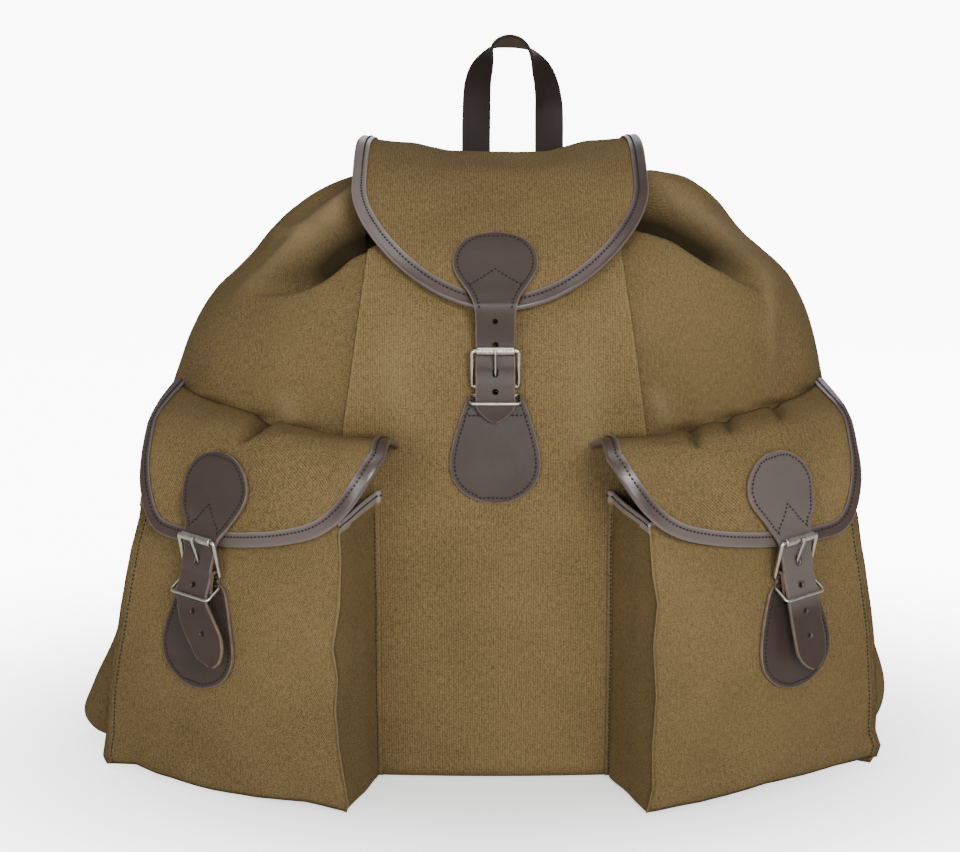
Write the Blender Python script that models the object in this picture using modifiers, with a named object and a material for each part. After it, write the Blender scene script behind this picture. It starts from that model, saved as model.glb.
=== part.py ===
"""A canvas hunting rucksack with leather trim, as separate solids in metres.

+Z is up, the front faces -Y, and the origin is the middle of the base, on the surface it stands on.
The sack and its two pockets are hollow. Every buckle is fastened as it is worn.
"""

import math
from collections import namedtuple

import bmesh
import bpy
from mathutils import Matrix, Vector
from mathutils.bvhtree import BVHTree

# Walls, and the gap that touching pieces keep
CANVAS = 0.0020
LEATHER = 0.0024
BINDING = 0.0012
GAP = 0.0004
RAY_START = 0.1
SLOPE_RUN = 0.03
SEAT_LIFT = 0.0004

# The sack, level by level: half widths to the left and right, distance of the front, the widest
# line and the back from the middle, half width of the flat front panel, and how square the corners are
Level = namedtuple("Level", "height left right front side back panel front_round back_round")
SACK_LEVELS = (
    Level(0.000, 0.262, 0.255, 0.101, 0.000, 0.078, 0.078, 1.30, 1.9),
    Level(0.006, 0.276, 0.268, 0.108, 0.000, 0.086, 0.077, 1.30, 1.9),
    Level(0.019, 0.282, 0.274, 0.111, 0.000, 0.089, 0.076, 1.30, 1.9),
    Level(0.040, 0.274, 0.270, 0.115, 0.000, 0.092, 0.076, 1.35, 2.1),
    Level(0.073, 0.260, 0.261, 0.119, 0.002, 0.094, 0.076, 1.45, 2.4),
    Level(0.120, 0.249, 0.252, 0.123, 0.004, 0.096, 0.076, 1.55, 2.6),
    Level(0.165, 0.239, 0.243, 0.126, 0.006, 0.096, 0.076, 1.60, 2.6),
    Level(0.210, 0.228, 0.233, 0.128, 0.008, 0.095, 0.077, 1.60, 2.6),
    Level(0.250, 0.216, 0.224, 0.128, 0.010, 0.093, 0.078, 1.60, 2.5),
    Level(0.282, 0.205, 0.217, 0.125, 0.012, 0.091, 0.078, 1.60, 2.4),
    Level(0.308, 0.189, 0.207, 0.119, 0.015, 0.089, 0.076, 1.65, 2.3),
    Level(0.330, 0.166, 0.193, 0.108, 0.020, 0.087, 0.072, 1.70, 2.2),
    Level(0.350, 0.151, 0.171, 0.091, 0.026, 0.085, 0.065, 1.80, 2.1),
    Level(0.366, 0.136, 0.152, 0.067, 0.032, 0.082, 0.055, 1.90, 2.0),
    Level(0.378, 0.116, 0.134, 0.040, 0.036, 0.078, 0.045, 2.00, 2.0),
    Level(0.386, 0.092, 0.110, 0.010, 0.036, 0.070, 0.034, 2.00, 2.0),
    Level(0.388, 0.064, 0.078, -0.006, 0.034, 0.061, 0.024, 2.00, 2.0),
    Level(0.397, 0.068, 0.082, -0.003, 0.034, 0.064, 0.026, 2.00, 2.0),
)
PANEL_CROWN = 0.004
BACK_FLAT = 0.5
PANEL_STEPS, FRONT_STEPS, BACK_STEPS, BACK_FLAT_STEPS = 3, 9, 5, 3

# Gathers drawn together round the neck, and the deep folds that cross each shoulder
GATHERS = 12
GATHER_DEPTH = 0.007
GATHER_START, GATHER_FULL = 0.335, 0.386
SHAPE_CENTRE = Vector((0.0, 0.02, 0.25))
Fold = namedtuple("Fold", "x0 z0 x1 z1 width depth")
SHOULDER_FOLDS = (
    Fold(-0.088, 0.354, -0.160, 0.311, 0.013, -0.013),
    Fold(-0.090, 0.376, -0.176, 0.314, 0.010, 0.005),
    Fold(0.098, 0.368, 0.186, 0.314, 0.013, -0.014),
    Fold(0.104, 0.387, 0.190, 0.330, 0.010, 0.005),
)

# The top flap: its line over the mouth from the seam on the back to the tip, and its outline
FLAP_LINE = (
    (0.0925, 0.346), (0.0905, 0.366), (0.0840, 0.386), (0.0650, 0.4005), (0.0350, 0.4060),
    (0.0000, 0.4030), (-0.0425, 0.3915), (-0.0785, 0.3690), (-0.1095, 0.3405), (-0.1310, 0.3045),
)
FLAP_CENTRE = 0.004
FLAP_SEAM_HALF, FLAP_HALF = 0.086, 0.0945
FLAP_SIDE_SHARE = 0.66
FLAP_ROUND = 1.85
FLAP_EDGE_LIFT, FLAP_EDGE_BACK = 0.006, 0.006
FLAP_SIDE_STEPS, FLAP_ROUND_STEPS = 6, 16
BINDING_WIDTH, BINDING_GAP, BINDING_LIP = 0.010, 0.0006, 0.0016
CANVAS_COLUMNS = 6

# A pocket, level by level: where its inner and outer front seams run, and where it meets the sack
PocketLevel = namedtuple("PocketLevel", "height inner_x inner_y outer_x outer_y outer_back")
POCKET_LEVELS = (
    PocketLevel(0.0015, 0.0910, -0.186, 0.2500, -0.078, 0.224),
    PocketLevel(0.0120, 0.0930, -0.191, 0.2555, -0.082, 0.226),
    PocketLevel(0.0500, 0.0950, -0.195, 0.2510, -0.086, 0.224),
    PocketLevel(0.0900, 0.0965, -0.197, 0.2455, -0.090, 0.221),
    PocketLevel(0.1300, 0.0965, -0.196, 0.2385, -0.092, 0.218),
    PocketLevel(0.1600, 0.0950, -0.193, 0.2335, -0.092, 0.214),
    PocketLevel(0.1840, 0.0940, -0.189, 0.2290, -0.090, 0.210),
)
POCKET_BACK_X = 0.0735
POCKET_INNER_GAP, POCKET_OUTER_GAP, POCKET_LOW_GAP = 0.0014, 0.0022, 0.0018
POCKET_CROWN = 0.008
POCKET_MOUTH_RISE = 0.009
POCKET_TURN = math.radians(36)
GUSSET_STEPS, POCKET_STEPS = 3, 8

# A pocket's flap, column by column from its inner end: the seam on the sack, the ridge, where the column
# would end if it were whole, and the share of it that is kept
FlapColumn = namedtuple("FlapColumn", "seam_x seam_z ridge_x ridge_y ridge_z end_x end_y end_z kept")
POCKET_FLAP = (
    FlapColumn(0.062, 0.2215, 0.068, -0.194, 0.2310, 0.0735, -0.204, 0.1650, 0.535),
    FlapColumn(0.071, 0.2225, 0.076, -0.195, 0.2310, 0.0820, -0.205, 0.1645, 0.665),
    FlapColumn(0.084, 0.2235, 0.087, -0.193, 0.2305, 0.0930, -0.202, 0.1640, 0.790),
    FlapColumn(0.102, 0.2245, 0.103, -0.185, 0.2300, 0.1090, -0.194, 0.1630, 0.885),
    FlapColumn(0.125, 0.2260, 0.126, -0.171, 0.2295, 0.1320, -0.180, 0.1630, 0.945),
    FlapColumn(0.149, 0.2285, 0.152, -0.152, 0.2285, 0.157, -0.1645, 0.1635, 0.985),
    FlapColumn(0.171, 0.2315, 0.175, -0.134, 0.2280, 0.180, -0.1475, 0.1630, 1.000),
    FlapColumn(0.188, 0.2350, 0.196, -0.114, 0.2290, 0.202, -0.1290, 0.1625, 1.000),
    FlapColumn(0.200, 0.2390, 0.214, -0.094, 0.2310, 0.225, -0.1140, 0.1630, 0.955),
    FlapColumn(0.208, 0.2430, 0.226, -0.074, 0.2350, 0.240, -0.1000, 0.1650, 0.800),
    FlapColumn(0.213, 0.2460, 0.226, -0.048, 0.2400, 0.240, -0.0740, 0.1700, 0.480),
)
FLAP_SAMPLES = 16
HEM_SIDE_STEPS, HEM_STEPS = 9, 14
FLAP_BELLY, FLAP_SOFT, FLAP_TOP_RISE = 0.03, 0.36, 0.003
FLAP_LEFT_SEAM = 0.965
FLAP_CLEARANCE = 0.0040

# A closure stands on the surface at its heel bar. Height is up the strap from that bar. A free row's rise
# is out from the closure's own plane. A laid row follows what lies behind it, and a bridged row is straight.
FREE, LAID, BRIDGED = 0, 1, 2
SLOT_HALF, SLOT_TOP = 0.0016, 0.0122
NARROW_SLOT_SHARE = 0.6
Station = namedtuple("Station", "height rise half rides")
STRAP_HEAD = (
    Station(0.0560, 0.0021, 0.0060, LAID), Station(0.0540, 0.0021, 0.0150, LAID),
    Station(0.0500, 0.0021, 0.0215, LAID), Station(0.0440, 0.0021, 0.0255, LAID),
    Station(0.0370, 0.0021, 0.0270, LAID), Station(0.0280, 0.0028, 0.0250, LAID),
    Station(0.0180, 0.0046, 0.0195, BRIDGED), Station(0.0080, 0.0044, 0.0150, BRIDGED),
)
STRAP_BEND = (
    Station(0.0300, 0.0064, 0.0127, FREE), Station(0.0225, 0.0060, 0.0125, FREE),
    Station(0.0165, 0.0066, 0.0125, FREE), Station(SLOT_TOP, 0.0076, 0.0125, FREE),
    Station(0.0085, 0.0090, 0.0125, FREE), Station(0.0036, 0.0101, 0.0125, FREE),
    Station(0.0000, 0.0103, 0.0125, FREE),
)
TOP_STRAP_TAIL = (
    Station(-0.0070, 0.0103, 0.0125, FREE), Station(-0.0125, 0.0098, 0.0125, FREE),
    Station(-0.0165, 0.0090, 0.0095, FREE), Station(-0.0200, 0.0080, 0.0055, FREE),
    Station(-0.0225, 0.0072, 0.0018, FREE),
)
POCKET_STRAP_TAIL = (
    Station(-0.0070, 0.0112, 0.0125, FREE), Station(-0.0140, 0.0120, 0.0125, FREE),
    Station(-0.0260, 0.0122, 0.0125, FREE), Station(-0.0400, 0.0124, 0.0125, FREE),
    Station(-0.0480, 0.0128, 0.0105, FREE), Station(-0.0530, 0.0132, 0.0070, FREE),
    Station(-0.0560, 0.0136, 0.0025, FREE),
)
CHAPE_LEAF = (
    Station(-0.0735, 0.0020, 0.0050, LAID), Station(-0.0715, 0.0020, 0.0130, LAID),
    Station(-0.0650, 0.0020, 0.0225, LAID), Station(-0.0560, 0.0020, 0.0280, LAID),
    Station(-0.0460, 0.0020, 0.0285, LAID), Station(-0.0320, 0.0020, 0.0255, LAID),
    Station(-0.0180, 0.0020, 0.0212, LAID), Station(-0.0085, 0.0020, 0.0170, LAID),
    Station(-0.0050, 0.0016, 0.0115, FREE),
)
CHAPE_TAIL = ((-0.0050, 0.0), (-0.0090, -0.0004), (-0.0130, -0.0024))
CHAPE_BEND_STEPS = 6
BAR_DEPTH, ROLLER_DEPTH = 0.00455, 0.01025
BUCKLE_RISE = 0.0225
BUCKLE_HALF = 0.01465
BUCKLE_CORNER = 0.0021
WIRE = 0.00135
ROLLER_BORE, ROLLER_RADIUS, ROLLER_HALF = 0.0017, 0.00265, 0.0122
TONGUE_WIRE, TONGUE_EYE, TONGUE_EYE_TURN = 0.0010, 0.0027, (130, 360)
TONGUE_LINE = ((0.00760, 0.0040), (0.00860, 0.0080), (0.01020, 0.0120), (0.01240, 0.0170), (0.01430, 0.0210),
               (0.01440, 0.0236))
KEEPER_WIRE, KEEPER_HALF, KEEPER_CORNER = 0.0010, 0.01585, 0.0030
KEEPER_BACK_HEIGHT = -0.0056
Closure = namedtuple("Closure", "name x y z turn step head_gap tail keeper_depth keeper_height sway")
TAIL = POCKET_STRAP_TAIL
CLOSURES = (
    Closure("top", 0.0010, -0.130, 0.2600, 0.0, 0.0, 0.0225, TOP_STRAP_TAIL, 0.0129, -0.0130, 0.0),
    Closure("left", -0.1820, -0.145, 0.1450, -POCKET_TURN, 0.0048, 0.0065, TAIL, 0.0148, -0.0140, 0.006),
    Closure("right", 0.1860, -0.145, 0.1440, POCKET_TURN, 0.0048, 0.0065, TAIL, 0.0148, -0.0140, 0.006),
)

# The handle's feet and crown, and the straps on the back
HANDLE_HALF = 0.010
HANDLE_LEFT, HANDLE_RIGHT = -0.012, 0.040
HANDLE_BACK, HANDLE_SPRING, HANDLE_TOP = 0.0970, 0.450, 0.478
HANDLE_LEG = ((0.3060, 0.0048), (0.3200, 0.0056))
HANDLE_STRAIGHT = (0.345, 0.390, 0.425)
YOKE_HEIGHTS = (0.280, 0.294, 0.308, 0.322, 0.336)
YOKE_HALF = 0.066
BackStation = namedtuple("BackStation", "across height off half")
SHOULDER_STRAP = (
    BackStation(0.042, 0.302, 0.0048, 0.0190), BackStation(0.044, 0.290, 0.0048, 0.0190),
    BackStation(0.051, 0.270, 0.0100, 0.0190), BackStation(0.068, 0.236, 0.0240, 0.0190),
    BackStation(0.090, 0.186, 0.0290, 0.0190), BackStation(0.116, 0.136, 0.0260, 0.0170),
    BackStation(0.134, 0.094, 0.0160, 0.0130), BackStation(0.141, 0.066, 0.0056, 0.0125),
    BackStation(0.143, 0.050, 0.0050, 0.0125),
)
ANCHOR_HEIGHTS = (0.030, 0.044, 0.058, 0.072)
ANCHOR_ACROSS, ANCHOR_HALF = 0.142, 0.020


def clear_scene():
    for obj in list(bpy.data.objects):
        bpy.data.objects.remove(obj)


def make_material(name, colour, roughness, metallic=0.0):
    material = bpy.data.materials.new(name)
    material.use_nodes = True
    shader = material.node_tree.nodes["Principled BSDF"]
    shader.inputs["Base Color"].default_value = (*colour, 1.0)
    shader.inputs["Roughness"].default_value = roughness
    shader.inputs["Metallic"].default_value = metallic
    return material


def ease(value, low, high):
    """0 up to low, 1 from high on, smooth between."""
    t = min(1.0, max(0.0, (value - low) / (high - low)))
    return t * t * (3 - 2 * t)


def mix(a, b, t):
    return a + (b - a) * t


def curve_through(points, steps):
    """Points of a smooth curve through the given ones, steps to each span."""
    points = [Vector(p) for p in points]
    ends = [2 * points[0] - points[1], *points, 2 * points[-1] - points[-2]]
    made = []
    for a, b, c, d in zip(ends, ends[1:], ends[2:], ends[3:]):
        for i in range(steps):
            t = i / steps
            made.append(0.5 * (2 * b + (c - a) * t + (2 * a - 5 * b + 4 * c - d) * t**2
                               + (3 * b - a - 3 * c + d) * t**3))
    return [*made, points[-1]]


def along(points, share):
    """The point at a share of the way along a line of points."""
    lengths = [0.0]
    for a, b in zip(points, points[1:]):
        lengths.append(lengths[-1] + (b - a).length)
    wanted = share * lengths[-1]
    for i in range(1, len(points)):
        if wanted <= lengths[i] or i == len(points) - 1:
            return mix(points[i - 1], points[i], (wanted - lengths[i - 1]) / (lengths[i] - lengths[i - 1]))


def finish(obj, collection, material, smooth_angle=40):
    collection.objects.link(obj)
    obj.data.materials.append(material)
    if obj.type == "MESH":
        obj.data.shade_smooth()
        obj.data.set_sharp_from_angle(angle=math.radians(smooth_angle))
    return obj


def mesh_object(name, bm):
    mesh = bpy.data.meshes.new(name)
    bm.to_mesh(mesh)
    bm.free()
    return bpy.data.objects.new(name, mesh)


def sheet(name, rows):
    """An open surface through rows of points, seen from outside with rows going up and columns right."""
    bm = bmesh.new()
    grid = [[bm.verts.new(p) for p in row] for row in rows]
    for low, high in zip(grid, grid[1:]):
        for j in range(len(low) - 1):
            bm.faces.new((low[j], low[j + 1], high[j + 1], high[j]))
    bmesh.ops.remove_doubles(bm, verts=bm.verts, dist=0.00001)
    bmesh.ops.triangulate(bm, faces=bm.faces, quad_method="SHORT_EDGE")
    return mesh_object(name, bm)


def thicken(obj, thickness, offset=-1.0):
    """Gives an open surface its wall: offset -1 grows it behind the faces, 1 in front, 0 both ways."""
    solidify = obj.modifiers.new("wall", "SOLIDIFY")
    solidify.thickness = thickness
    solidify.offset = offset
    return obj


def surface_tree(obj):
    """A search tree over an object's evaluated mesh."""
    return BVHTree.FromObject(obj, bpy.context.evaluated_depsgraph_get())


def on_front(tree, x, z, gap=GAP):
    """The point just off the surface where a line along +Y first meets it."""
    hit, normal, _, _ = tree.ray_cast(Vector((x, -1.0, z)), Vector((0.0, 1.0, 0.0)))
    return hit - Vector((0.0, gap / max(0.5, abs(normal.y)), 0.0))


# The sack

def half_ring(level, half, sign):
    """One side of a level, from the middle of the front to the middle of the back."""
    points = []
    for i in range(PANEL_STEPS):
        t = i / PANEL_STEPS
        points.append((level.panel * t, -level.front + PANEL_CROWN * t * t))
    power = 2 / level.front_round
    for i in range(FRONT_STEPS + 1):
        turn = math.pi / 2 * i / FRONT_STEPS
        points.append((
            mix(level.panel, half, math.sin(turn) ** power),
            mix(level.side, PANEL_CROWN - level.front, max(0.0, math.cos(turn)) ** power),
        ))
    flat = half * BACK_FLAT
    power = 2 / level.back_round
    for i in range(1, BACK_STEPS + 1):
        turn = math.pi / 2 * i / BACK_STEPS
        points.append((
            mix(flat, half, max(0.0, math.cos(turn)) ** power),
            mix(level.side, level.back, math.sin(turn) ** power),
        ))
    for i in range(1, BACK_FLAT_STEPS + 1):
        points.append((flat * (1 - i / BACK_FLAT_STEPS), level.back))
    return [Vector((sign * x, y, level.height)) for x, y in points]


def fold_depth(point):
    """How far the shoulder folds push a point of the front out, or in where it is negative."""
    total = 0.0
    for fold in SHOULDER_FOLDS:
        start = Vector((fold.x0, fold.z0))
        run = Vector((fold.x1, fold.z1)) - start
        here = Vector((point.x, point.z)) - start
        share = here.dot(run) / run.length_squared
        across = (here - run * min(1.0, max(0.0, share))).length
        total += fold.depth * math.exp(-((across / fold.width) ** 2)) * (1 - ease(share, 0.55, 1.15))
    return total


def sack_ring(level):
    right = half_ring(level, level.right, 1)
    left = half_ring(level, level.left, -1)
    points = right + left[-2:0:-1]
    gather = GATHER_DEPTH * ease(level.height, GATHER_START, GATHER_FULL)
    made = []
    for j, point in enumerate(points):
        outward = (point - SHAPE_CENTRE).normalized()
        turn = 2 * math.pi * j / len(points)
        pull = gather * (0.5 - 0.5 * math.cos(GATHERS * turn))
        middle = Vector((0.0, level.side, level.height))
        point = point - (point - middle).normalized() * pull
        if point.y < level.side:
            point = point + outward * fold_depth(point)
        made.append(point)
    return made


def make_sack():
    bm = bmesh.new()
    rings = [[bm.verts.new(p) for p in sack_ring(level)] for level in SACK_LEVELS]
    bm.faces.new(reversed(rings[0]))
    for low, high in zip(rings, rings[1:]):
        for j in range(len(low)):
            k = (j + 1) % len(low)
            bm.faces.new((low[j], low[k], high[k], high[j]))
    return thicken(mesh_object("sack", bm), CANVAS)


# Flaps and their bindings

def spline(a, b, c, d, t):
    return 0.5 * (2 * b + (c - a) * t + (2 * a - 5 * b + 4 * c - d) * t**2 + (3 * b - a - 3 * c + d) * t**3)


class Surface:
    """A smooth surface through a lattice of points: u runs across its columns and v down each, 0 to 1."""

    def __init__(self, columns):
        self.columns = columns

    @staticmethod
    def pick(values, share):
        """The four values round a place in a list, and how far it is between the middle two."""
        at = share * (len(values) - 1)
        i = min(max(int(math.floor(at)), 0), len(values) - 2)
        before = values[i - 1] if i > 0 else None
        after = values[i + 2] if i + 2 < len(values) else None
        return before, values[i], values[i + 1], after, at - i

    def down(self, column, v):
        before, low, high, after, t = self.pick(column, v)
        before = 2 * low - high if before is None else before
        after = 2 * high - low if after is None else after
        return spline(before, low, high, after, t)

    def point(self, u, v):
        before, low, high, after, t = self.pick(self.columns, u)
        low, high = self.down(low, v), self.down(high, v)
        before = 2 * low - high if before is None else self.down(before, v)
        after = 2 * high - low if after is None else self.down(after, v)
        return spline(before, low, high, after, t)

    def slopes(self, u, v, step=0.004):
        return ((self.point(u + step, v) - self.point(u - step, v)) / (2 * step),
                (self.point(u, v + step) - self.point(u, v - step)) / (2 * step))

    def normal(self, u, v):
        """Faces away from the bag where u runs to the viewer's right and v runs down."""
        across, down = self.slopes(u, v)
        return down.cross(across).normalized()

    def walk(self, u, v, way, distance, steps=8):
        """Where a walk over the surface ends that sets off in a direction and turns with the surface."""
        for _ in range(steps):
            across, down = self.slopes(u, v)
            stride = way * (distance / steps)
            a, b, c = across.dot(across), across.dot(down), down.dot(down)
            d, e = across.dot(stride), down.dot(stride)
            u += (c * d - b * e) / (a * c - b * b)
            v += (a * e - b * d) / (a * c - b * b)
            normal = self.normal(u, v)
            way = (way - normal * way.dot(normal)).normalized()
        return u, v

    def inset(self, outline, distance):
        """The outline moved into the surface by a distance, as places on the surface."""
        moved = []
        points = [self.point(u, v) for u, v in outline]
        for i, (u, v) in enumerate(outline):
            tangent = (points[min(i + 1, len(points) - 1)] - points[max(i - 1, 0)]).normalized()
            moved.append(self.walk(u, v, self.normal(u, v).cross(tangent).normalized(), distance))
        return moved


def top_flap_surface():
    """The top flap's middle surface, as if it were a rectangle, with v along its line over the mouth."""
    line = curve_through(FLAP_LINE, 6)
    columns = []
    for i in range(FLAP_SAMPLES + 1):
        u = 2 * i / FLAP_SAMPLES - 1
        column = []
        for j in range(FLAP_SAMPLES + 1):
            v = j / FLAP_SAMPLES
            y, z = along(line, v)
            half = mix(FLAP_SEAM_HALF, FLAP_HALF, ease(v, 0.0, 0.5))
            ridge = ease(v, 0.12, 0.32) * (1 - ease(v, 0.42, 0.62))
            front = ease(v, 0.45, 0.95)
            x = FLAP_CENTRE * ease(v, 0.0, 0.3) + u * half
            edge_lift = FLAP_EDGE_LIFT * ridge * abs(u) ** 3
            column.append(Vector((x, y + FLAP_EDGE_BACK * front * u * u, z + edge_lift)))
        columns.append(column)
    return Surface(columns)


def top_flap_outline():
    """Down the left side, round the tip and up the right side, clear of the seam."""
    side = [(0.0, FLAP_SIDE_SHARE * i / FLAP_SIDE_STEPS) for i in range(1, FLAP_SIDE_STEPS)]
    power = 2 / FLAP_ROUND
    tip = []
    for i in range(FLAP_ROUND_STEPS + 1):
        turn = math.pi * i / FLAP_ROUND_STEPS
        across = math.copysign(abs(math.cos(turn)) ** power, -math.cos(turn))
        tip.append((0.5 + 0.5 * across, mix(FLAP_SIDE_SHARE, 1.0, math.sin(turn) ** power)))
    return side + tip + [(1.0, v) for _, v in reversed(side)]


def drape(point, tree, way, clearance):
    """Moves a point back along the way until it clears a surface it would sink into."""
    hit, _, _, _ = tree.ray_cast(point - way * RAY_START, way)
    if hit is None or (hit - point).dot(way) > clearance:
        return point
    return hit - way * clearance


def pocket_flap_surface(side, sack, pocket):
    """The middle surface of one pocket flap, with each column as if it were whole."""
    way = Vector((-side * math.sin(POCKET_TURN), math.cos(POCKET_TURN), 0.0))
    columns = []
    for column in POCKET_FLAP:
        narrow = 1.0 if side > 0 else mix(1.0, FLAP_LEFT_SEAM, column.seam_x / POCKET_FLAP[-1].seam_x)
        seam = on_front(sack, side * column.seam_x * narrow, column.seam_z, GAP + CANVAS / 2)
        ridge = Vector((side * column.ridge_x, column.ridge_y, column.ridge_z))
        end = Vector((side * column.end_x, column.end_y, column.end_z))
        top = seam.lerp(ridge, 0.5) + Vector((0.0, 0.0, FLAP_TOP_RISE))
        belly = ridge.lerp(end, 0.5) - way * FLAP_BELLY * (ridge - end).length
        bend = (ridge.lerp(top, FLAP_SOFT), ridge.lerp(belly, FLAP_SOFT))
        line = curve_through((seam, top, *bend, belly, end), 6)
        samples = [along(line, i / FLAP_SAMPLES) for i in range(FLAP_SAMPLES + 1)]
        columns.append([drape(point, pocket, way, FLAP_CLEARANCE) for point in samples])
    if side < 0:
        columns.reverse()
    return Surface(columns)


def pocket_flap_outline(side):
    kept = [column.kept for column in POCKET_FLAP]
    if side < 0:
        kept.reverse()
    left = [(0.0, kept[0] * i / HEM_SIDE_STEPS) for i in range(1, HEM_SIDE_STEPS)]
    right = [(1.0, kept[-1] * i / HEM_SIDE_STEPS) for i in range(HEM_SIDE_STEPS - 1, 0, -1)]
    hem = []
    for i in range(HEM_STEPS + 1):
        before, low, high, after, t = Surface.pick(kept, i / HEM_STEPS)
        hem.append((i / HEM_STEPS, spline(before or 2 * low - high, low, high, after or 2 * high - low, t)))
    return left + hem + right


def canvas_rows(surface, outline, ring):
    """Rows across a flap from one side of its outline to the other, closing in on the tip."""
    rows = [[surface.point(j / (CANVAS_COLUMNS + 2), 0.0) for j in range(CANVAS_COLUMNS + 3)]]
    last = len(outline) - 1
    for i in range(last // 2 + 1):
        (u0, v0), (u1, v1) = ring[i], ring[last - i]
        between = [surface.point(mix(u0, u1, j / CANVAS_COLUMNS), mix(v0, v1, j / CANVAS_COLUMNS))
                   for j in range(CANVAS_COLUMNS + 1)]
        rows.append([surface.point(*outline[i]), *between, surface.point(*outline[last - i])])
    return rows


def binding_rows(surface, outline, ring):
    """Leather folded over a flap's free edge: rows across it, from the outer leaf round to the inner one."""
    face = CANVAS / 2 + BINDING_GAP + BINDING / 2
    rows = []
    for places, lip, rise in ((ring, 0.0, face), (outline, 0.0, face), (outline, BINDING_LIP, 0.4 * face),
                              (outline, BINDING_LIP, -0.4 * face), (outline, 0.0, -face), (ring, 0.0, -face)):
        points = [surface.point(u, v) for u, v in places]
        row = []
        for i, (u, v) in enumerate(places):
            normal = surface.normal(u, v)
            tangent = points[min(i + 1, len(points) - 1)] - points[max(i - 1, 0)]
            outward = tangent.cross(normal).normalized()
            row.append(points[i] + normal * rise + outward * lip)
        rows.append(row)
    return rows


def make_bound_flap(name, surface, outline, collection, canvas, leather):
    """A canvas flap and the leather that binds its free edge."""
    ring = surface.inset(outline, BINDING_WIDTH)
    flap = thicken(sheet(name, canvas_rows(surface, outline, ring)[::-1]), CANVAS, 0.0)
    trim = thicken(sheet(name + "_binding", binding_rows(surface, outline, ring)[::-1]), BINDING, 0.0)
    return finish(flap, collection, canvas), finish(trim, collection, leather)


# Pockets

def pocket_path(level, side, sack, rise=0.0):
    """One level of a pocket, from the sack round its front and back to the sack."""
    low = POCKET_LOW_GAP if level is POCKET_LEVELS[0] else 0.0
    back_in = on_front(sack, side * POCKET_BACK_X, level.height + rise, POCKET_INNER_GAP + low)
    back_out = on_front(sack, side * level.outer_back, level.height + rise, POCKET_OUTER_GAP + low)
    inner = Vector((side * level.inner_x, level.inner_y, level.height))
    outer = Vector((side * level.outer_x, level.outer_y, level.height))
    out = (outer - inner).cross(Vector((0.0, 0.0, side))).normalized()
    first = [back_in.lerp(inner, i / GUSSET_STEPS) for i in range(GUSSET_STEPS)]
    front = []
    for i in range(POCKET_STEPS + 1):
        t = i / POCKET_STEPS
        front.append(inner.lerp(outer, t) + out * POCKET_CROWN * math.sin(math.pi * t))
    last = [outer.lerp(back_out, (i + 1) / GUSSET_STEPS) for i in range(GUSSET_STEPS)]
    return first + front + last


def pocket_bottom(path, level, side, sack):
    """The bottom as rows from the front seam back to the sack."""
    front = path[GUSSET_STEPS:GUSSET_STEPS + POCKET_STEPS + 1]
    back = [path[0]]
    for i in range(1, POCKET_STEPS):
        x = mix(POCKET_BACK_X, level.outer_back, i / POCKET_STEPS)
        back.append(on_front(sack, side * x, level.height, POCKET_INNER_GAP + POCKET_LOW_GAP))
    back.append(path[-1])
    rows = [front]
    for i in range(1, GUSSET_STEPS):
        rows.append([a.lerp(b, i / GUSSET_STEPS) for a, b in zip(front, back)])
    return [*rows, back]


def make_pocket(name, side, sack):
    levels = POCKET_LEVELS
    rows = []
    for level in levels:
        rise = POCKET_MOUTH_RISE if level is levels[-1] else 0.0
        rows.append(pocket_path(level, side, sack, rise))
    bottom = pocket_bottom(rows[0], levels[0], side, sack)
    if side < 0:
        rows = [row[::-1] for row in rows]
        bottom = [row[::-1] for row in bottom]
    bm = bmesh.new()
    for grid in (rows, bottom[::-1]):
        made = [[bm.verts.new(p) for p in row] for row in grid]
        for low, high in zip(made, made[1:]):
            for a, b, c, d in zip(low, low[1:], high[1:], high):
                bm.faces.new((a, b, c, d))
    bmesh.ops.remove_doubles(bm, verts=bm.verts, dist=0.0001)
    return thicken(mesh_object(name, bm), CANVAS)


# Closures

def wire(name, points, radius, sides, closed):
    """A bent wire with a round section, as a curve through the points."""
    curve = bpy.data.curves.new(name, "CURVE")
    curve.dimensions = "3D"
    curve.bevel_depth = radius
    curve.bevel_resolution = (sides - 4) // 2
    curve.use_fill_caps = not closed
    spline = curve.splines.new("POLY")
    spline.points.add(len(points) - 1)
    for node, point in zip(spline.points, points):
        node.co = (*point, 1.0)
    spline.use_cyclic_u = closed
    return bpy.data.objects.new(name, curve)


def wire_loop(corners, radius, steps=2):
    """A closed line through corners that are rounded off."""
    points = []
    for i, corner in enumerate(corners):
        back = (corners[i - 1] - corner).normalized()
        on = (corners[(i + 1) % len(corners)] - corner).normalized()
        start, end = corner + back * radius, corner + on * radius
        for j in range(steps + 1):
            t = j / steps
            points.append(start * (1 - t) ** 2 + corner * 2 * t * (1 - t) + end * t * t)
    return points


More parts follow.
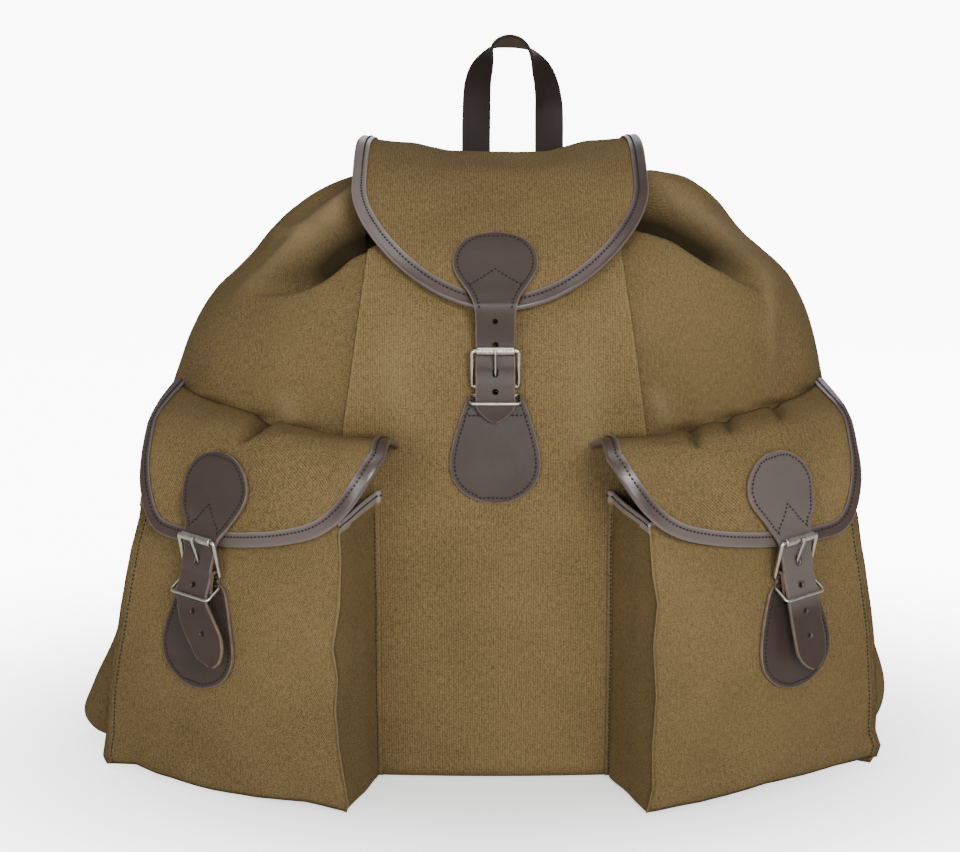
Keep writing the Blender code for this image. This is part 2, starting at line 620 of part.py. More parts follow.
class Seat:
    """Where a closure stands: its own axes, and the surfaces behind it."""

    def __init__(self, closure, trees):
        self.trees = trees
        self.step = closure.step / BUCKLE_RISE
        self.place = Matrix.Translation((closure.x, closure.y, closure.z))
        self.place = self.place @ Matrix.Rotation(closure.turn, 4, "Z")
        lower = self.behind(0.0, -SLOPE_RUN)[0].y - self.behind(0.0, 0.0)[0].y
        self.place = self.place @ Matrix.Rotation(math.atan(lower / SLOPE_RUN), 4, "X")
        self.place = self.place @ Matrix.Translation(self.behind(0.0, 0.0)[0] - Vector((0.0, SEAT_LIFT, 0.0)))

    def behind(self, across, height):
        """The frontmost surface at a place on the closure's plane: its point and normal, in local axes."""
        axes = self.place.to_3x3()
        start = self.place @ Vector((across, -RAY_START, height))
        hits = [tree.ray_cast(start, axes @ Vector((0.0, 1.0, 0.0))) for tree in self.trees]
        point, normal, _, _ = min((hit for hit in hits if hit[0]), key=lambda hit: hit[3])
        normal = axes.inverted() @ normal
        return self.place.inverted() @ point, normal if normal.y < 0 else -normal

    def at(self, across, height, rise, rides=FREE):
        if rides == FREE:
            return self.place @ Vector((across, -rise - self.step * max(0.0, height), height))
        point, normal = self.behind(across if rides == LAID else 0.0, height)
        if rides == BRIDGED:
            return self.place @ Vector((across, point.y - rise, height))
        return self.place @ (point + normal * rise)


def ribbon_rows(seat, stations, sway=0.0, first=0.0, last=-1.0):
    """Rows of a strap's middle surface, four points each; sway shifts them sideways from first to last."""
    rows = []
    for station in stations:
        shift = sway * ease(-station.height, first, -last)
        inner = min(SLOT_HALF, station.half * NARROW_SLOT_SHARE)
        across = [shift + x for x in (-station.half, -inner, inner, station.half)]
        rows.append([seat.at(x, station.height, station.rise, station.rides) for x in across])
    return rows


def strap_sheet(name, rows, slot):
    """A strap's middle surface, open between the rows of its slot. Rows run downwards."""
    bm = bmesh.new()
    made = [[bm.verts.new(p) for p in row] for row in rows]
    for i, (high, low) in enumerate(zip(made, made[1:])):
        for j in range(3):
            if j == 1 and slot[0] <= i < slot[1]:
                continue
            bm.faces.new((low[j], low[j + 1], high[j + 1], high[j]))
    return thicken(mesh_object(name, bm), LEATHER, 0.0)


def make_strap(closure, seat):
    """The strap: its teardrop head sewn to the flap, the bend through the buckle, and the free end."""
    lift = BUCKLE_RISE + closure.head_gap - STRAP_HEAD[-1].height
    head = [station._replace(height=station.height + lift) for station in STRAP_HEAD]
    bend = [station for station in STRAP_BEND if station.height < head[-1].height - 0.004]
    stations = [*head, *bend, *closure.tail]
    slot_top = next(i for i, station in enumerate(stations) if station.height == SLOT_TOP)
    rows = ribbon_rows(seat, stations, closure.sway, 0.014, closure.tail[-1].height)
    return strap_sheet(closure.name + "_strap", rows, (slot_top, slot_top + 2))


def make_chape(closure, seat):
    """The chape: a teardrop leaf on the bag whose neck folds round the heel bar and comes back down."""
    rows = ribbon_rows(seat, CHAPE_LEAF)
    radius = BAR_DEPTH - CHAPE_LEAF[-1].rise
    half = CHAPE_LEAF[-1].half
    fold = []
    for i in range(CHAPE_BEND_STEPS + 1):
        turn = math.pi * i / CHAPE_BEND_STEPS
        fold.append(Station(radius * math.sin(turn), BAR_DEPTH - radius * math.cos(turn), half, FREE))
    fold += [Station(height, BAR_DEPTH + radius + rise, half, FREE) for height, rise in CHAPE_TAIL]
    rows += ribbon_rows(seat, fold)
    return strap_sheet(closure.name + "_chape", rows[::-1], (2, 2 + len(fold) - 2))


def make_roller(closure, seat):
    """The roller: a short tube that turns on the frame's top bar."""
    profile = bmesh.new()
    corners = [(ROLLER_BORE, -ROLLER_HALF), (ROLLER_RADIUS, -ROLLER_HALF), (ROLLER_RADIUS, ROLLER_HALF),
               (ROLLER_BORE, ROLLER_HALF)]
    made = [profile.verts.new((x, 0.0, z)) for x, z in corners[::-1]]
    for i in range(4):
        profile.edges.new((made[i], made[(i + 1) % 4]))
    obj = mesh_object(closure.name + "_buckle_roller", profile)
    screw = obj.modifiers.new("turned", "SCREW")
    screw.axis = "Z"
    screw.steps = screw.render_steps = 12
    screw.use_merge_vertices = True
    screw.merge_threshold = 0.00001
    screw.use_smooth_shade = True
    turn = seat.place.to_3x3() @ Matrix.Rotation(math.pi / 2, 3, "Y")
    obj.matrix_world = Matrix.Translation(seat.at(0.0, BUCKLE_RISE, ROLLER_DEPTH)) @ turn.to_4x4()
    return obj


def make_buckle_frame(closure, seat):
    corners = [seat.at(x, height, depth) for x, height, depth in (
        (-BUCKLE_HALF, 0.0, BAR_DEPTH), (BUCKLE_HALF, 0.0, BAR_DEPTH),
        (BUCKLE_HALF, BUCKLE_RISE, ROLLER_DEPTH), (-BUCKLE_HALF, BUCKLE_RISE, ROLLER_DEPTH))]
    return wire(closure.name + "_buckle_frame", wire_loop(corners, BUCKLE_CORNER), WIRE, 8, True)


def make_tongue(closure, seat):
    """The tongue: an eye round the heel bar, then up through the strap's hole to rest on the roller."""
    eye = []
    for i in range(9):
        turn = math.radians(mix(*TONGUE_EYE_TURN, i / 8))
        eye.append((BAR_DEPTH + TONGUE_EYE * math.cos(turn), TONGUE_EYE * math.sin(turn)))
    line = [seat.at(0.0, height, depth) for depth, height in (*eye, *TONGUE_LINE)]
    return wire(closure.name + "_buckle_tongue", line, TONGUE_WIRE, 6, False)


def make_keeper(closure, seat):
    corners = [seat.at(x, height, depth) for x, height, depth in (
        (-KEEPER_HALF, KEEPER_BACK_HEIGHT, BAR_DEPTH), (KEEPER_HALF, KEEPER_BACK_HEIGHT, BAR_DEPTH),
        (KEEPER_HALF, closure.keeper_height, closure.keeper_depth),
        (-KEEPER_HALF, closure.keeper_height, closure.keeper_depth))]
    return wire(closure.name + "_keeper", wire_loop(corners, KEEPER_CORNER), KEEPER_WIRE, 6, True)


def make_closure(closure, trees, collection, leather, steel):
    seat = Seat(closure, trees)
    finish(make_strap(closure, seat), collection, leather)
    finish(make_chape(closure, seat), collection, leather)
    finish(make_buckle_frame(closure, seat), collection, steel)
    finish(make_roller(closure, seat), collection, steel)
    finish(make_tongue(closure, seat), collection, steel)
    finish(make_keeper(closure, seat), collection, steel)


# The back

def on_back(tree, x, z, off):
    """The point a little off the back of the sack."""
    hit, normal, _, _ = tree.ray_cast(Vector((x, 1.0, z)), Vector((0.0, -1.0, 0.0)))
    return hit + normal * off


def back_patch(name, tree, centre, half, heights, columns):
    """A flat leather patch that lies on the back."""
    off = 2 * GAP + LEATHER / 2
    rows = []
    for height in heights:
        across = [centre + half * (1 - 2 * j / columns) for j in range(columns + 1)]
        rows.append([on_back(tree, x, height, off) for x in across])
    patch = sheet(name, rows)
    return thicken(patch, LEATHER, 0.0)


def make_shoulder_strap(name, side, tree):
    """A strap bowed off the back, from the yoke to its lower anchor."""
    rows = []
    for station in reversed(SHOULDER_STRAP):
        across = [side * station.across + x * station.half for x in (1, 0, -1)]
        rows.append([on_back(tree, x, station.height, station.off) for x in across])
    strap = sheet(name, rows)
    return thicken(strap, LEATHER, 0.0)


def make_handle(tree):
    """The handle: its legs face forwards and its crown faces up, so the strap turns on each side."""
    middle, radius = (HANDLE_LEFT + HANDLE_RIGHT) / 2, (HANDLE_RIGHT - HANDLE_LEFT) / 2
    stations = [(on_back(tree, HANDLE_LEFT, height, off), 0.0) for height, off in HANDLE_LEG]
    stations += [(Vector((HANDLE_LEFT, HANDLE_BACK, height)), 0.0) for height in HANDLE_STRAIGHT]
    crown = HANDLE_TOP - HANDLE_SPRING
    for i in range(9):
        turn = math.pi * i / 8
        stations.append((Vector((middle - radius * math.cos(turn), HANDLE_BACK,
                                 HANDLE_SPRING + crown * math.sin(turn))), turn))
    legs = stations[:len(HANDLE_LEG) + len(HANDLE_STRAIGHT)]
    right = [(Vector((2 * middle - point.x, point.y, point.z)), math.pi - turn) for point, turn in legs]
    stations += right[::-1]
    rows = []
    for i, (point, turn) in enumerate(stations):
        run = (stations[min(i + 1, len(stations) - 1)][0] - stations[max(i - 1, 0)][0]).normalized()
        across = Vector((math.cos(turn), -math.sin(turn), 0.0))
        across = (across - run * across.dot(run)).normalized() * HANDLE_HALF
        rows.append([point - across, point, point + across])
    strap = sheet("handle", rows)
    return thicken(strap, LEATHER, 0.0)


def build():
    clear_scene()
    collection = bpy.data.collections.new("rucksack")
    bpy.context.scene.collection.children.link(collection)
    canvas = make_material("canvas", (0.17, 0.115, 0.045), 0.9)
    leather = make_material("leather", (0.045, 0.026, 0.018), 0.45)
    steel = make_material("steel", (0.55, 0.54, 0.50), 0.35, 1.0)

    sack = finish(make_sack(), collection, canvas)
    bpy.context.view_layer.update()
    tree = surface_tree(sack)
    surface = top_flap_surface()
    flap, trim = make_bound_flap("top_flap", surface, top_flap_outline(), collection, canvas, leather)
    bpy.context.view_layer.update()
    behind = {"top": [tree, surface_tree(flap), surface_tree(trim)]}
    for name, side in (("left", -1), ("right", 1)):
        pocket = finish(make_pocket(name + "_pocket", side, tree), collection, canvas)
        bpy.context.view_layer.update()
        pocket_tree = surface_tree(pocket)
        surface = pocket_flap_surface(side, tree, pocket_tree)
        outline = pocket_flap_outline(side)
        flap, trim = make_bound_flap(name + "_pocket_flap", surface, outline, collection, canvas, leather)
        bpy.context.view_layer.update()
        behind[name] = [pocket_tree, surface_tree(flap), surface_tree(trim)]
    for closure in CLOSURES:
        make_closure(closure, behind[closure.name], collection, leather, steel)

    finish(back_patch("back_yoke", tree, 0.0, YOKE_HALF, YOKE_HEIGHTS, 8), collection, leather)
    finish(make_handle(tree), collection, leather)
    for name, side in (("left", -1), ("right", 1)):
        centre = side * ANCHOR_ACROSS
        anchor = back_patch(name + "_strap_anchor", tree, centre, ANCHOR_HALF, ANCHOR_HEIGHTS, 4)
        finish(anchor, collection, leather)
        finish(make_shoulder_strap(name + "_shoulder_strap", side, tree), collection, leather)


build()
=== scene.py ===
"""A canvas hunting rucksack with leather trim, over its solid frame. Metres, +Z up, front faces -Y."""

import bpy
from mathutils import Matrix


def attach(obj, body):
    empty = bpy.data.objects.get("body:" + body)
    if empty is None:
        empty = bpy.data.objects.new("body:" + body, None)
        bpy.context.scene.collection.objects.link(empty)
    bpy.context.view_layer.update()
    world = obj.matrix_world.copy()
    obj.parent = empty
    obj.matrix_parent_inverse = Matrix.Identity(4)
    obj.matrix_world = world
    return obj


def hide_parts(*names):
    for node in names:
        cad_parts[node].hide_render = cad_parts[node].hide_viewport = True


bl_info = {
    "name": "Hunting rucksack",
    "version": (1, 0, 0),
    "blender": (4, 5, 0),
    "location": "View3D > Sidebar > Rucksack",
    "description": "Builds a canvas and leather hunting rucksack piece by piece",
    "category": "Add Mesh",
}

import math
from collections import namedtuple

import bmesh
import bpy
import numpy as np
from bpy.props import FloatProperty, FloatVectorProperty, IntProperty, PointerProperty
from mathutils import Matrix, Vector, noise
from mathutils.bvhtree import BVHTree

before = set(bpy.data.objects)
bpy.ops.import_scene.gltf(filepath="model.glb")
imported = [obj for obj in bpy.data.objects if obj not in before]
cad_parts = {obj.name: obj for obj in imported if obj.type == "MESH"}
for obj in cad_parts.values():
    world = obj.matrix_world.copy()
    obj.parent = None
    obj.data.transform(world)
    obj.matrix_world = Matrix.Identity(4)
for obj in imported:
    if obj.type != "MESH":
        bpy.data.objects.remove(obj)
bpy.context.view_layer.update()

BODY = "root"

CAMERA_TARGET = (-0.009, 0.0, 0.2164)
CAMERA_DISTANCE, CAMERA_ELEVATION = 1.70, math.radians(8)
CAMERA_LENS = 93.75

# The stage: lamps that face the bag, and how bright the surroundings are for the bag and for the camera
Lamp = namedtuple("Lamp", "name place size power")
LAMPS = (
    Lamp("key light", (0.6, -2.5, 0.95), 0.9, 56.0),
    Lamp("fill light", (-1.0, -2.4, 0.5), 1.2, 24.0),
    Lamp("top light", (0.0, -0.8, 2.4), 1.2, 12.0),
    Lamp("back light", (0.4, 2.3, 1.0), 1.4, 9.0),
)
LAMP_TARGET = (0.0, 0.0, 0.20)
WORLD_LIGHT, WORLD_SEEN = 0.36, 10.0
FLOOR_RADIUS, FLOOR_DROP = 9.0, 0.0004

# The sack, level by level: height, half widths to the left and right, distance of the front, the widest
# line and the back from the middle, half width of the front panel, and how square the front and back are.
# Only the right half widths differ from the solid's, at the shoulder and the lowest corner
SACK_LEVELS = np.array((
    (0.000, 0.262, 0.246, 0.101, 0.000, 0.078, 0.078, 1.30, 1.9),
    (0.006, 0.276, 0.257, 0.108, 0.000, 0.086, 0.077, 1.30, 1.9),
    (0.019, 0.282, 0.267, 0.111, 0.000, 0.089, 0.076, 1.30, 1.9),
    (0.040, 0.274, 0.270, 0.115, 0.000, 0.092, 0.076, 1.35, 2.1),
    (0.073, 0.260, 0.261, 0.119, 0.002, 0.094, 0.076, 1.45, 2.4),
    (0.120, 0.249, 0.252, 0.123, 0.004, 0.096, 0.076, 1.55, 2.6),
    (0.165, 0.239, 0.243, 0.126, 0.006, 0.096, 0.076, 1.60, 2.6),
    (0.210, 0.228, 0.233, 0.128, 0.008, 0.095, 0.077, 1.60, 2.6),
    (0.250, 0.216, 0.224, 0.128, 0.010, 0.093, 0.078, 1.60, 2.5),
    (0.282, 0.205, 0.217, 0.125, 0.012, 0.091, 0.078, 1.60, 2.4),
    (0.308, 0.189, 0.207, 0.119, 0.015, 0.089, 0.076, 1.65, 2.3),
    (0.330, 0.166, 0.193, 0.108, 0.020, 0.087, 0.072, 1.70, 2.2),
    (0.350, 0.151, 0.171, 0.091, 0.026, 0.085, 0.065, 1.80, 2.1),
    (0.366, 0.136, 0.157, 0.067, 0.032, 0.082, 0.055, 1.90, 2.0),
    (0.378, 0.116, 0.143, 0.040, 0.036, 0.078, 0.045, 2.00, 2.0),
    (0.386, 0.092, 0.124, 0.010, 0.036, 0.070, 0.034, 2.00, 2.0),
    (0.388, 0.064, 0.078, -0.006, 0.034, 0.061, 0.024, 2.00, 2.0),
    (0.397, 0.068, 0.082, -0.003, 0.034, 0.064, 0.026, 2.00, 2.0),
))
PANEL_CROWN, BACK_FLAT = 0.004, 0.5
PANEL_SEAM = ((0.190, 0.232, 0.343), (0.1000, 0.0955, 0.0800))

# The sack's mesh: steps along a level's panel, side and back, rows from level to level, columns of half a
# ring on the panel, the side and the back, and how far each ring of the base shrinks
LEVEL_STEPS = (40, 160, 20)
SACK_SPANS = ((0, 2, 16), (2, 10, 62), (10, 17, 74))
RING_COLUMNS = (30, 76, 22)
BASE_RINGS = (0.94, 0.8, 0.6, 0.4, 0.2)
GATHERS = 12
GATHER_DEPTH = 0.0065
GATHER_START, GATHER_FULL = 0.335, 0.386

# Folds of the sack's cloth as they are seen from the front: points across, up and deep, in metres, where a
# pleat sinks slowly from above to a sharp lower edge, and a ridge stands proud
Fold = namedtuple("Fold", "points above below")
PLEATS = (
    Fold(((-0.0790, 0.3460, 0.018), (-0.0981, 0.3361, 0.021), (-0.1124, 0.3238, 0.019),
          (-0.1226, 0.3170, 0.015), (-0.1382, 0.3109, 0.009), (-0.1647, 0.3075, 0.0006)), 0.034, 0.0030),
    Fold(((0.0930, 0.3560, 0.021), (0.1100, 0.3520, 0.025), (0.1239, 0.3474, 0.025),
          (0.1379, 0.3392, 0.021), (0.1520, 0.3300, 0.016), (0.1658, 0.3228, 0.011),
          (0.1814, 0.3135, 0.0040), (0.1889, 0.3075, 0.0004)), 0.034, 0.0032),
)
RIDGES = (
    Fold(((-0.0960, 0.3742, 0.0040), (-0.1110, 0.3633, 0.0042), (-0.1239, 0.3538, 0.0040),
          (-0.1382, 0.3408, 0.0032), (-0.1498, 0.3306, 0.0028), (-0.1654, 0.3150, 0.0020),
          (-0.1763, 0.3041, 0.0006)), 0.0034, 0.0060),
    Fold(((-0.1239, 0.3524, 0.0004), (-0.1314, 0.3504, 0.0014), (-0.1416, 0.3483, 0.0014),
          (-0.1518, 0.3463, 0.0002)), 0.0030, 0.0030),
    Fold(((0.1073, 0.3861, 0.0020), (0.1331, 0.3697, 0.0030), (0.1542, 0.3544, 0.0032),
          (0.1705, 0.3404, 0.0032), (0.1824, 0.3286, 0.0028), (0.1882, 0.3184, 0.0024),
          (0.1889, 0.3021, 0.0018), (0.1889, 0.2749, 0.0012), (0.1889, 0.2463, 0.0003)), 0.0055, 0.0040),
    Fold(((-0.1510, 0.2420, 0.0), (-0.1440, 0.2330, 0.0016), (-0.1380, 0.2240, 0.0016)), 0.0070, 0.0060),
    Fold(((0.1040, 0.2440, 0.0), (0.1110, 0.2340, 0.0018), (0.1160, 0.2230, 0.0018)), 0.0080, 0.0060),
    Fold(((-0.0640, 0.2950, 0.0), (-0.0660, 0.2700, 0.0008), (-0.0650, 0.2400, 0.0010),
          (-0.0600, 0.2000, 0.0)), 0.0140, 0.0140),
    Fold(((0.0560, 0.2800, 0.0), (0.0620, 0.2500, 0.0010), (0.0650, 0.2100, 0.0012), (0.0600, 0.1500, 0.0)),
         0.0140, 0.0160),
)
PLEAT_SLOPE, DENT_SLOPE = 1.1, 1.5

# Where a pleat's painted shade starts and over how much depth, how far above its line its darkest painted
# shade lies and at what depth that is full, and the height at which a ridge's painted highlight is full
DEEP_FROM, DEEP_SPAN = 0.002, 0.013
CORE_OFF, CORE_DEPTH = 0.010, 0.018
PROUD_FULL = 0.0032

# The sack's soft waves, each with its size, seed and height, and where they fade at the base and the neck
SACK_WAVES = ((0.060, 11.0, 0.0018), (0.022, 4.0, 0.0006))
WAVES_BASE, WAVES_NECK = (0.0, 0.03), (0.372, 0.388)

# The panel's seams: where they fade under the flap, how far off them the cloth turns from proud to sunk, and
# the height or place of the proud strip, the sunk strip, the rubbed rim with its painted highlight and the
# painted shade, each with its reach
SEAM_FADE, SEAM_TURN = (0.350, 0.362), 0.0003
SEAM_PROUD, SEAM_SUNK = (0.0007, 0.006), (0.0016, 0.0075)
SEAM_RIM, SEAM_DARK = (0.0005, 0.0008), (0.0004, 0.016)

# The painted shade in a line above the pocket flaps: where it starts from the middle, its height over
# the seam, its reach
LINE_START, LINE_RISE, LINE_REACH = (0.058, 0.066), 0.0010, 0.0022

# How strongly the sack is marked: rub and painted highlight on the seam's rim, painted highlight on
# the ridges, and painted shade near the base, beside the seam, in the pleats and above the pocket flaps
SEAM_RUB_AND_HIGHLIGHT, RIDGE_HIGHLIGHT, BASE_SHADE_TOP = 0.10, 0.26, 0.24
BASE_SHADE, SEAM_SHADE, PLEAT_SHADE, CORE_SHADE, FLAP_SHADE = 0.14, 0.32, 0.42, 0.74, 0.7

# Dents in the pocket flaps, as they are seen from the front
DENTS = (
    Fold(((-0.1749, 0.2035, 0.0000), (-0.1681, 0.2082, 0.0045), (-0.1600, 0.2137, 0.0070),
          (-0.1505, 0.2200, 0.0045)), 0.0110, 0.0014),
    Fold(((-0.1700, 0.2048, 0.0000), (-0.1518, 0.2069, -0.0008), (-0.1314, 0.2123, -0.0007),
          (-0.1076, 0.2180, 0.0000)), 0.0040, 0.0016),
    Fold(((0.1300, 0.2180, 0.0000), (0.1365, 0.2096, 0.0045), (0.1430, 0.2000, 0.0004)), 0.0080, 0.0030),
    Fold(((0.1530, 0.2250, 0.0000), (0.1590, 0.2184, 0.0038), (0.1640, 0.2100, 0.0002)), 0.0070, 0.0030),
    Fold(((0.1870, 0.2341, 0.0000), (0.1930, 0.2273, 0.0036), (0.1980, 0.2180, 0.0002)), 0.0070, 0.0030),
    Fold(((0.0998, 0.2062, 0.0000), (0.1202, 0.2069, 0.0012), (0.1406, 0.2082, 0.0000)), 0.0050, 0.0030),
)

# Painted shade on a pocket flap: at its seam, how far that reaches, in its dents and at most
HEM_SHADE, HEM_REACH, PIT_SHADE, MOST_SHADE = 0.85, 0.0022, 130.0, 0.9

# The top flap: its line over the mouth, its centre, its half widths, its rounded tip and its lifted edges
FLAP_LINE = (
    (0.0925, 0.346), (0.0905, 0.366), (0.0840, 0.386), (0.0650, 0.4005), (0.0350, 0.4060),
    (0.0000, 0.4030), (-0.0425, 0.3915), (-0.0785, 0.3690), (-0.1095, 0.3415), (-0.1305, 0.3085),
)
FLAP_CENTRE = 0.004
FLAP_SEAM_HALF, FLAP_HALF = 0.086, 0.0945
FLAP_SIDE_SHARE = 0.66
FLAP_ROUND = 1.85
FLAP_EDGE_LIFT, FLAP_EDGE_BACK, FLAP_DIP = 0.0045, 0.006, 0.0055
FLAP_SAMPLES = 16

# The pockets: height, where the inner and outer front seams run across and in depth, and where the outer
# side meets the sack
POCKET_LEVELS = np.array((
    (0.0015, 0.0910, -0.186, 0.2500, -0.078, 0.224),
    (0.0120, 0.0930, -0.191, 0.2555, -0.082, 0.226),
    (0.0500, 0.0950, -0.195, 0.2510, -0.086, 0.224),
    (0.0900, 0.0965, -0.197, 0.2455, -0.090, 0.221),
    (0.1300, 0.0965, -0.196, 0.2385, -0.092, 0.218),
    (0.1600, 0.0950, -0.193, 0.2335, -0.092, 0.214),
    (0.1840, 0.0940, -0.189, 0.2290, -0.090, 0.210),
))
POCKET_BACK_X = 0.0735
POCKET_CROWN = 0.008
POCKET_MOUTH_RISE = 0.009
POCKET_TURN = math.radians(36)

# The pocket flaps, a column at a time: the seam across and up, the ridge and the hem's end across, in depth
# and up, and how much of the column's length is kept
POCKET_FLAP = (
    (0.062, 0.2215, 0.068, -0.194, 0.2310, 0.0735, -0.204, 0.1650, 0.535),
    (0.071, 0.2235, 0.076, -0.195, 0.2310, 0.0820, -0.205, 0.1645, 0.665),
    (0.084, 0.2250, 0.087, -0.193, 0.2305, 0.0930, -0.202, 0.1640, 0.790),
    (0.102, 0.2270, 0.103, -0.185, 0.2300, 0.1090, -0.194, 0.1630, 0.885),
    (0.125, 0.2300, 0.126, -0.171, 0.2290, 0.1320, -0.180, 0.1630, 0.945),
    (0.149, 0.2345, 0.152, -0.152, 0.2280, 0.157, -0.1645, 0.1635, 0.985),
    (0.171, 0.2385, 0.175, -0.134, 0.2270, 0.180, -0.1475, 0.1630, 1.000),
    (0.190, 0.2410, 0.196, -0.114, 0.2270, 0.202, -0.1290, 0.1625, 1.000),
    (0.205, 0.2440, 0.213, -0.098, 0.2270, 0.224, -0.1180, 0.1630, 0.955),
    (0.215, 0.2468, 0.2260, -0.088, 0.2265, 0.2370, -0.1100, 0.1650, 0.790),
    (0.2205, 0.2492, 0.2330, -0.074, 0.2275, 0.2455, -0.1010, 0.1700, 0.480),
)
FLAP_BELLY, FLAP_SOFT, FLAP_TOP_RISE = 0.03, 0.36, 0.003
FLAP_LEFT_SEAM = 0.963
FLAP_CLEARANCE = 0.0040
SEW_REACH, SEW_OFF = 0.010, 0.0009

# How a flap's cloth and its edge leather lie on each other
CANVAS_INSET, BINDING_GAP = 0.0012, 0.0002
BINDING_SHARES = (1.0, 0.98, 0.75, 0.5, 0.25, 0.1)
BINDING_LIP, LIP_FULLNESS, LIP_TURNS = 0.0008, 1.4, 9
BINDING_SEAM = 0.0047

# The edge leather's painted sheen on the top flap's corner and the pocket flaps' hems, and its painted
# highlight on its cut edge and its fold, the last two with the rows of its mesh that they cover
CORNER_SHEEN, HEM_SHEEN, CUT_HIGHLIGHT, FOLD_HIGHLIGHT = 0.28, 0.17, 0.20, 0.22
CUT_ROWS, FOLD_ROWS = range(2), range(8, 12)

# How far thread stands out of leather, of edge leather and of cloth
THREAD_RISE, BINDING_THREAD_RISE, CLOTH_THREAD_RISE = 0.00005, 0.00008, 0.0001

# Closures: a station's height is up from the heel bar and its rise is out from the closure's plane
STRAP_HALF, LAID_HALF = 0.0125, 0.020
FREE, LAID, BRIDGED = 0, 1, 2
Station = namedtuple("Station", "height rise half rides")
STRAP_HEAD = (
    Station(0.0560, 0.0021, 0.0060, LAID), Station(0.0540, 0.0021, 0.0150, LAID),
    Station(0.0500, 0.0021, 0.0215, LAID), Station(0.0440, 0.0021, 0.0255, LAID),
    Station(0.0370, 0.0021, 0.0270, LAID), Station(0.0280, 0.0028, 0.0250, LAID),
    Station(0.0190, 0.0046, 0.0200, BRIDGED), Station(0.0120, 0.0044, 0.0165, BRIDGED),
)
STRAP_BEND = (
    Station(0.0300, 0.0064, 0.0127, FREE), Station(0.0225, 0.0060, STRAP_HALF, FREE),
    Station(0.0165, 0.0066, STRAP_HALF, FREE), Station(0.0122, 0.0076, STRAP_HALF, FREE),
    Station(0.0085, 0.0090, STRAP_HALF, FREE), Station(0.0036, 0.0101, STRAP_HALF, FREE),
    Station(0.0000, 0.0103, STRAP_HALF, FREE),
)
TOP_STRAP_TAIL = (
    Station(-0.0070, 0.0103, STRAP_HALF, FREE), Station(-0.0125, 0.0098, STRAP_HALF, FREE),
    Station(-0.0165, 0.0090, 0.0095, FREE), Station(-0.0200, 0.0080, 0.0055, FREE),
    Station(-0.0225, 0.0072, 0.0018, FREE),
)
POCKET_STRAP_TAIL = (
    Station(-0.0070, 0.0112, STRAP_HALF, FREE), Station(-0.0140, 0.0120, STRAP_HALF, FREE),
    Station(-0.0260, 0.0122, STRAP_HALF, FREE), Station(-0.0400, 0.0124, STRAP_HALF, FREE),
    Station(-0.0480, 0.0128, 0.0105, FREE), Station(-0.0530, 0.0132, 0.0070, FREE),
    Station(-0.0560, 0.0136, 0.0025, FREE),
)
CHAPE_LEAF = (
    Station(-0.0758, 0.0020, 0.0050, LAID), Station(-0.0738, 0.0020, 0.0130, LAID),
    Station(-0.0670, 0.0020, 0.0235, LAID), Station(-0.0575, 0.0020, 0.0295, LAID),
    Station(-0.0470, 0.0020, 0.0300, LAID), Station(-0.0320, 0.0020, 0.0255, LAID),
    Station(-0.0180, 0.0020, 0.0212, LAID), Station(-0.0085, 0.0020, 0.0170, LAID),
)
NECK_RISE, NECK_HALF = 0.0016, 0.0115
CHAPE_TAIL = ((-0.0090, -0.0004), (-0.0130, -0.0024))
BAR_DEPTH, ROLLER_DEPTH = 0.00455, 0.01025
BUCKLE_RISE, BUCKLE_HALF, BUCKLE_CORNER = 0.0225, 0.01465, 0.0021
FRAME_WIRE = 0.00135
ROLLER_BORE, ROLLER_RADIUS, ROLLER_HALF = 0.0017, 0.00265, 0.0122
ROLLER_LIP, ROLLER_FACE = 0.0006, 0.0105
GROOVE_DEPTH, GROOVE_COUNT, GROOVE_HALF, GROOVE_LEAST = 0.00011, 9, 0.0110, 0.0026
TONGUE_WIRE, TONGUE_EYE, TONGUE_EYE_TURN = 0.0010, 0.0027, (130, 360)
TONGUE_LINE = ((0.00760, 0.0040), (0.00860, 0.0080), (0.01020, 0.0120), (0.01240, 0.0170),
               (0.01430, 0.0210), (0.01440, 0.0236))
KEEPER_WIRE, KEEPER_HALF, KEEPER_CORNER = 0.0010, 0.01585, 0.0030
KEEPER_BACK_HEIGHT = -0.0056
SLOPE_RUN, SEAT_LIFT, RAY_START = 0.03, 0.0004, 0.1
SWAY_START, SWAY_STEP = 0.014, 0.002

# How the leather is cut: distances from a strap's top, its tip and a chape's bar, with half widths there
HEAD_CUT = np.array((
    (0.0, 0.0045), (0.0005, 0.0080), (0.0018, 0.0122), (0.0042, 0.0168), (0.0078, 0.0208),
    (0.0122, 0.0240), (0.0178, 0.0262), (0.0235, 0.0268), (0.0300, 0.0256), (0.0380, 0.0216),
    (0.0460, 0.0171), (0.0530, 0.0143), (0.0600, 0.0128), (0.0700, STRAP_HALF), (0.2000, STRAP_HALF),
))
TOP_TIP_CUT = np.array((
    (0.0, 0.0016), (0.0018, 0.0046), (0.0050, 0.0084), (0.0085, 0.0115), (0.0115, STRAP_HALF),
    (0.2000, STRAP_HALF),
))
POCKET_TIP_CUT = np.array((
    (0.0, 0.0024), (0.0025, 0.0064), (0.0070, 0.0100), (0.0130, 0.0122), (0.0180, STRAP_HALF),
    (0.2000, STRAP_HALF),
))
CHAPE_CUT = np.array((
    (0.0, 0.0118), (0.0020, 0.0150), (0.0055, 0.0182), (0.0120, 0.0208), (0.0200, 0.0234),
    (0.0300, 0.0262), (0.0400, 0.0282), (0.0475, 0.0286), (0.0545, 0.0272), (0.0600, 0.0242),
    (0.0645, 0.0200), (0.0675, 0.0152), (0.0695, 0.0105), (0.0703, 0.0068), (0.0706, 0.0040),
))
HOLE_RADIUS, HOLE_FLARE, HOLE_SIDES = 0.00165, 0.0005, 16
TONGUE_HOLE, TONGUE_HOLE_LENGTH = 0.0086, 0.0022

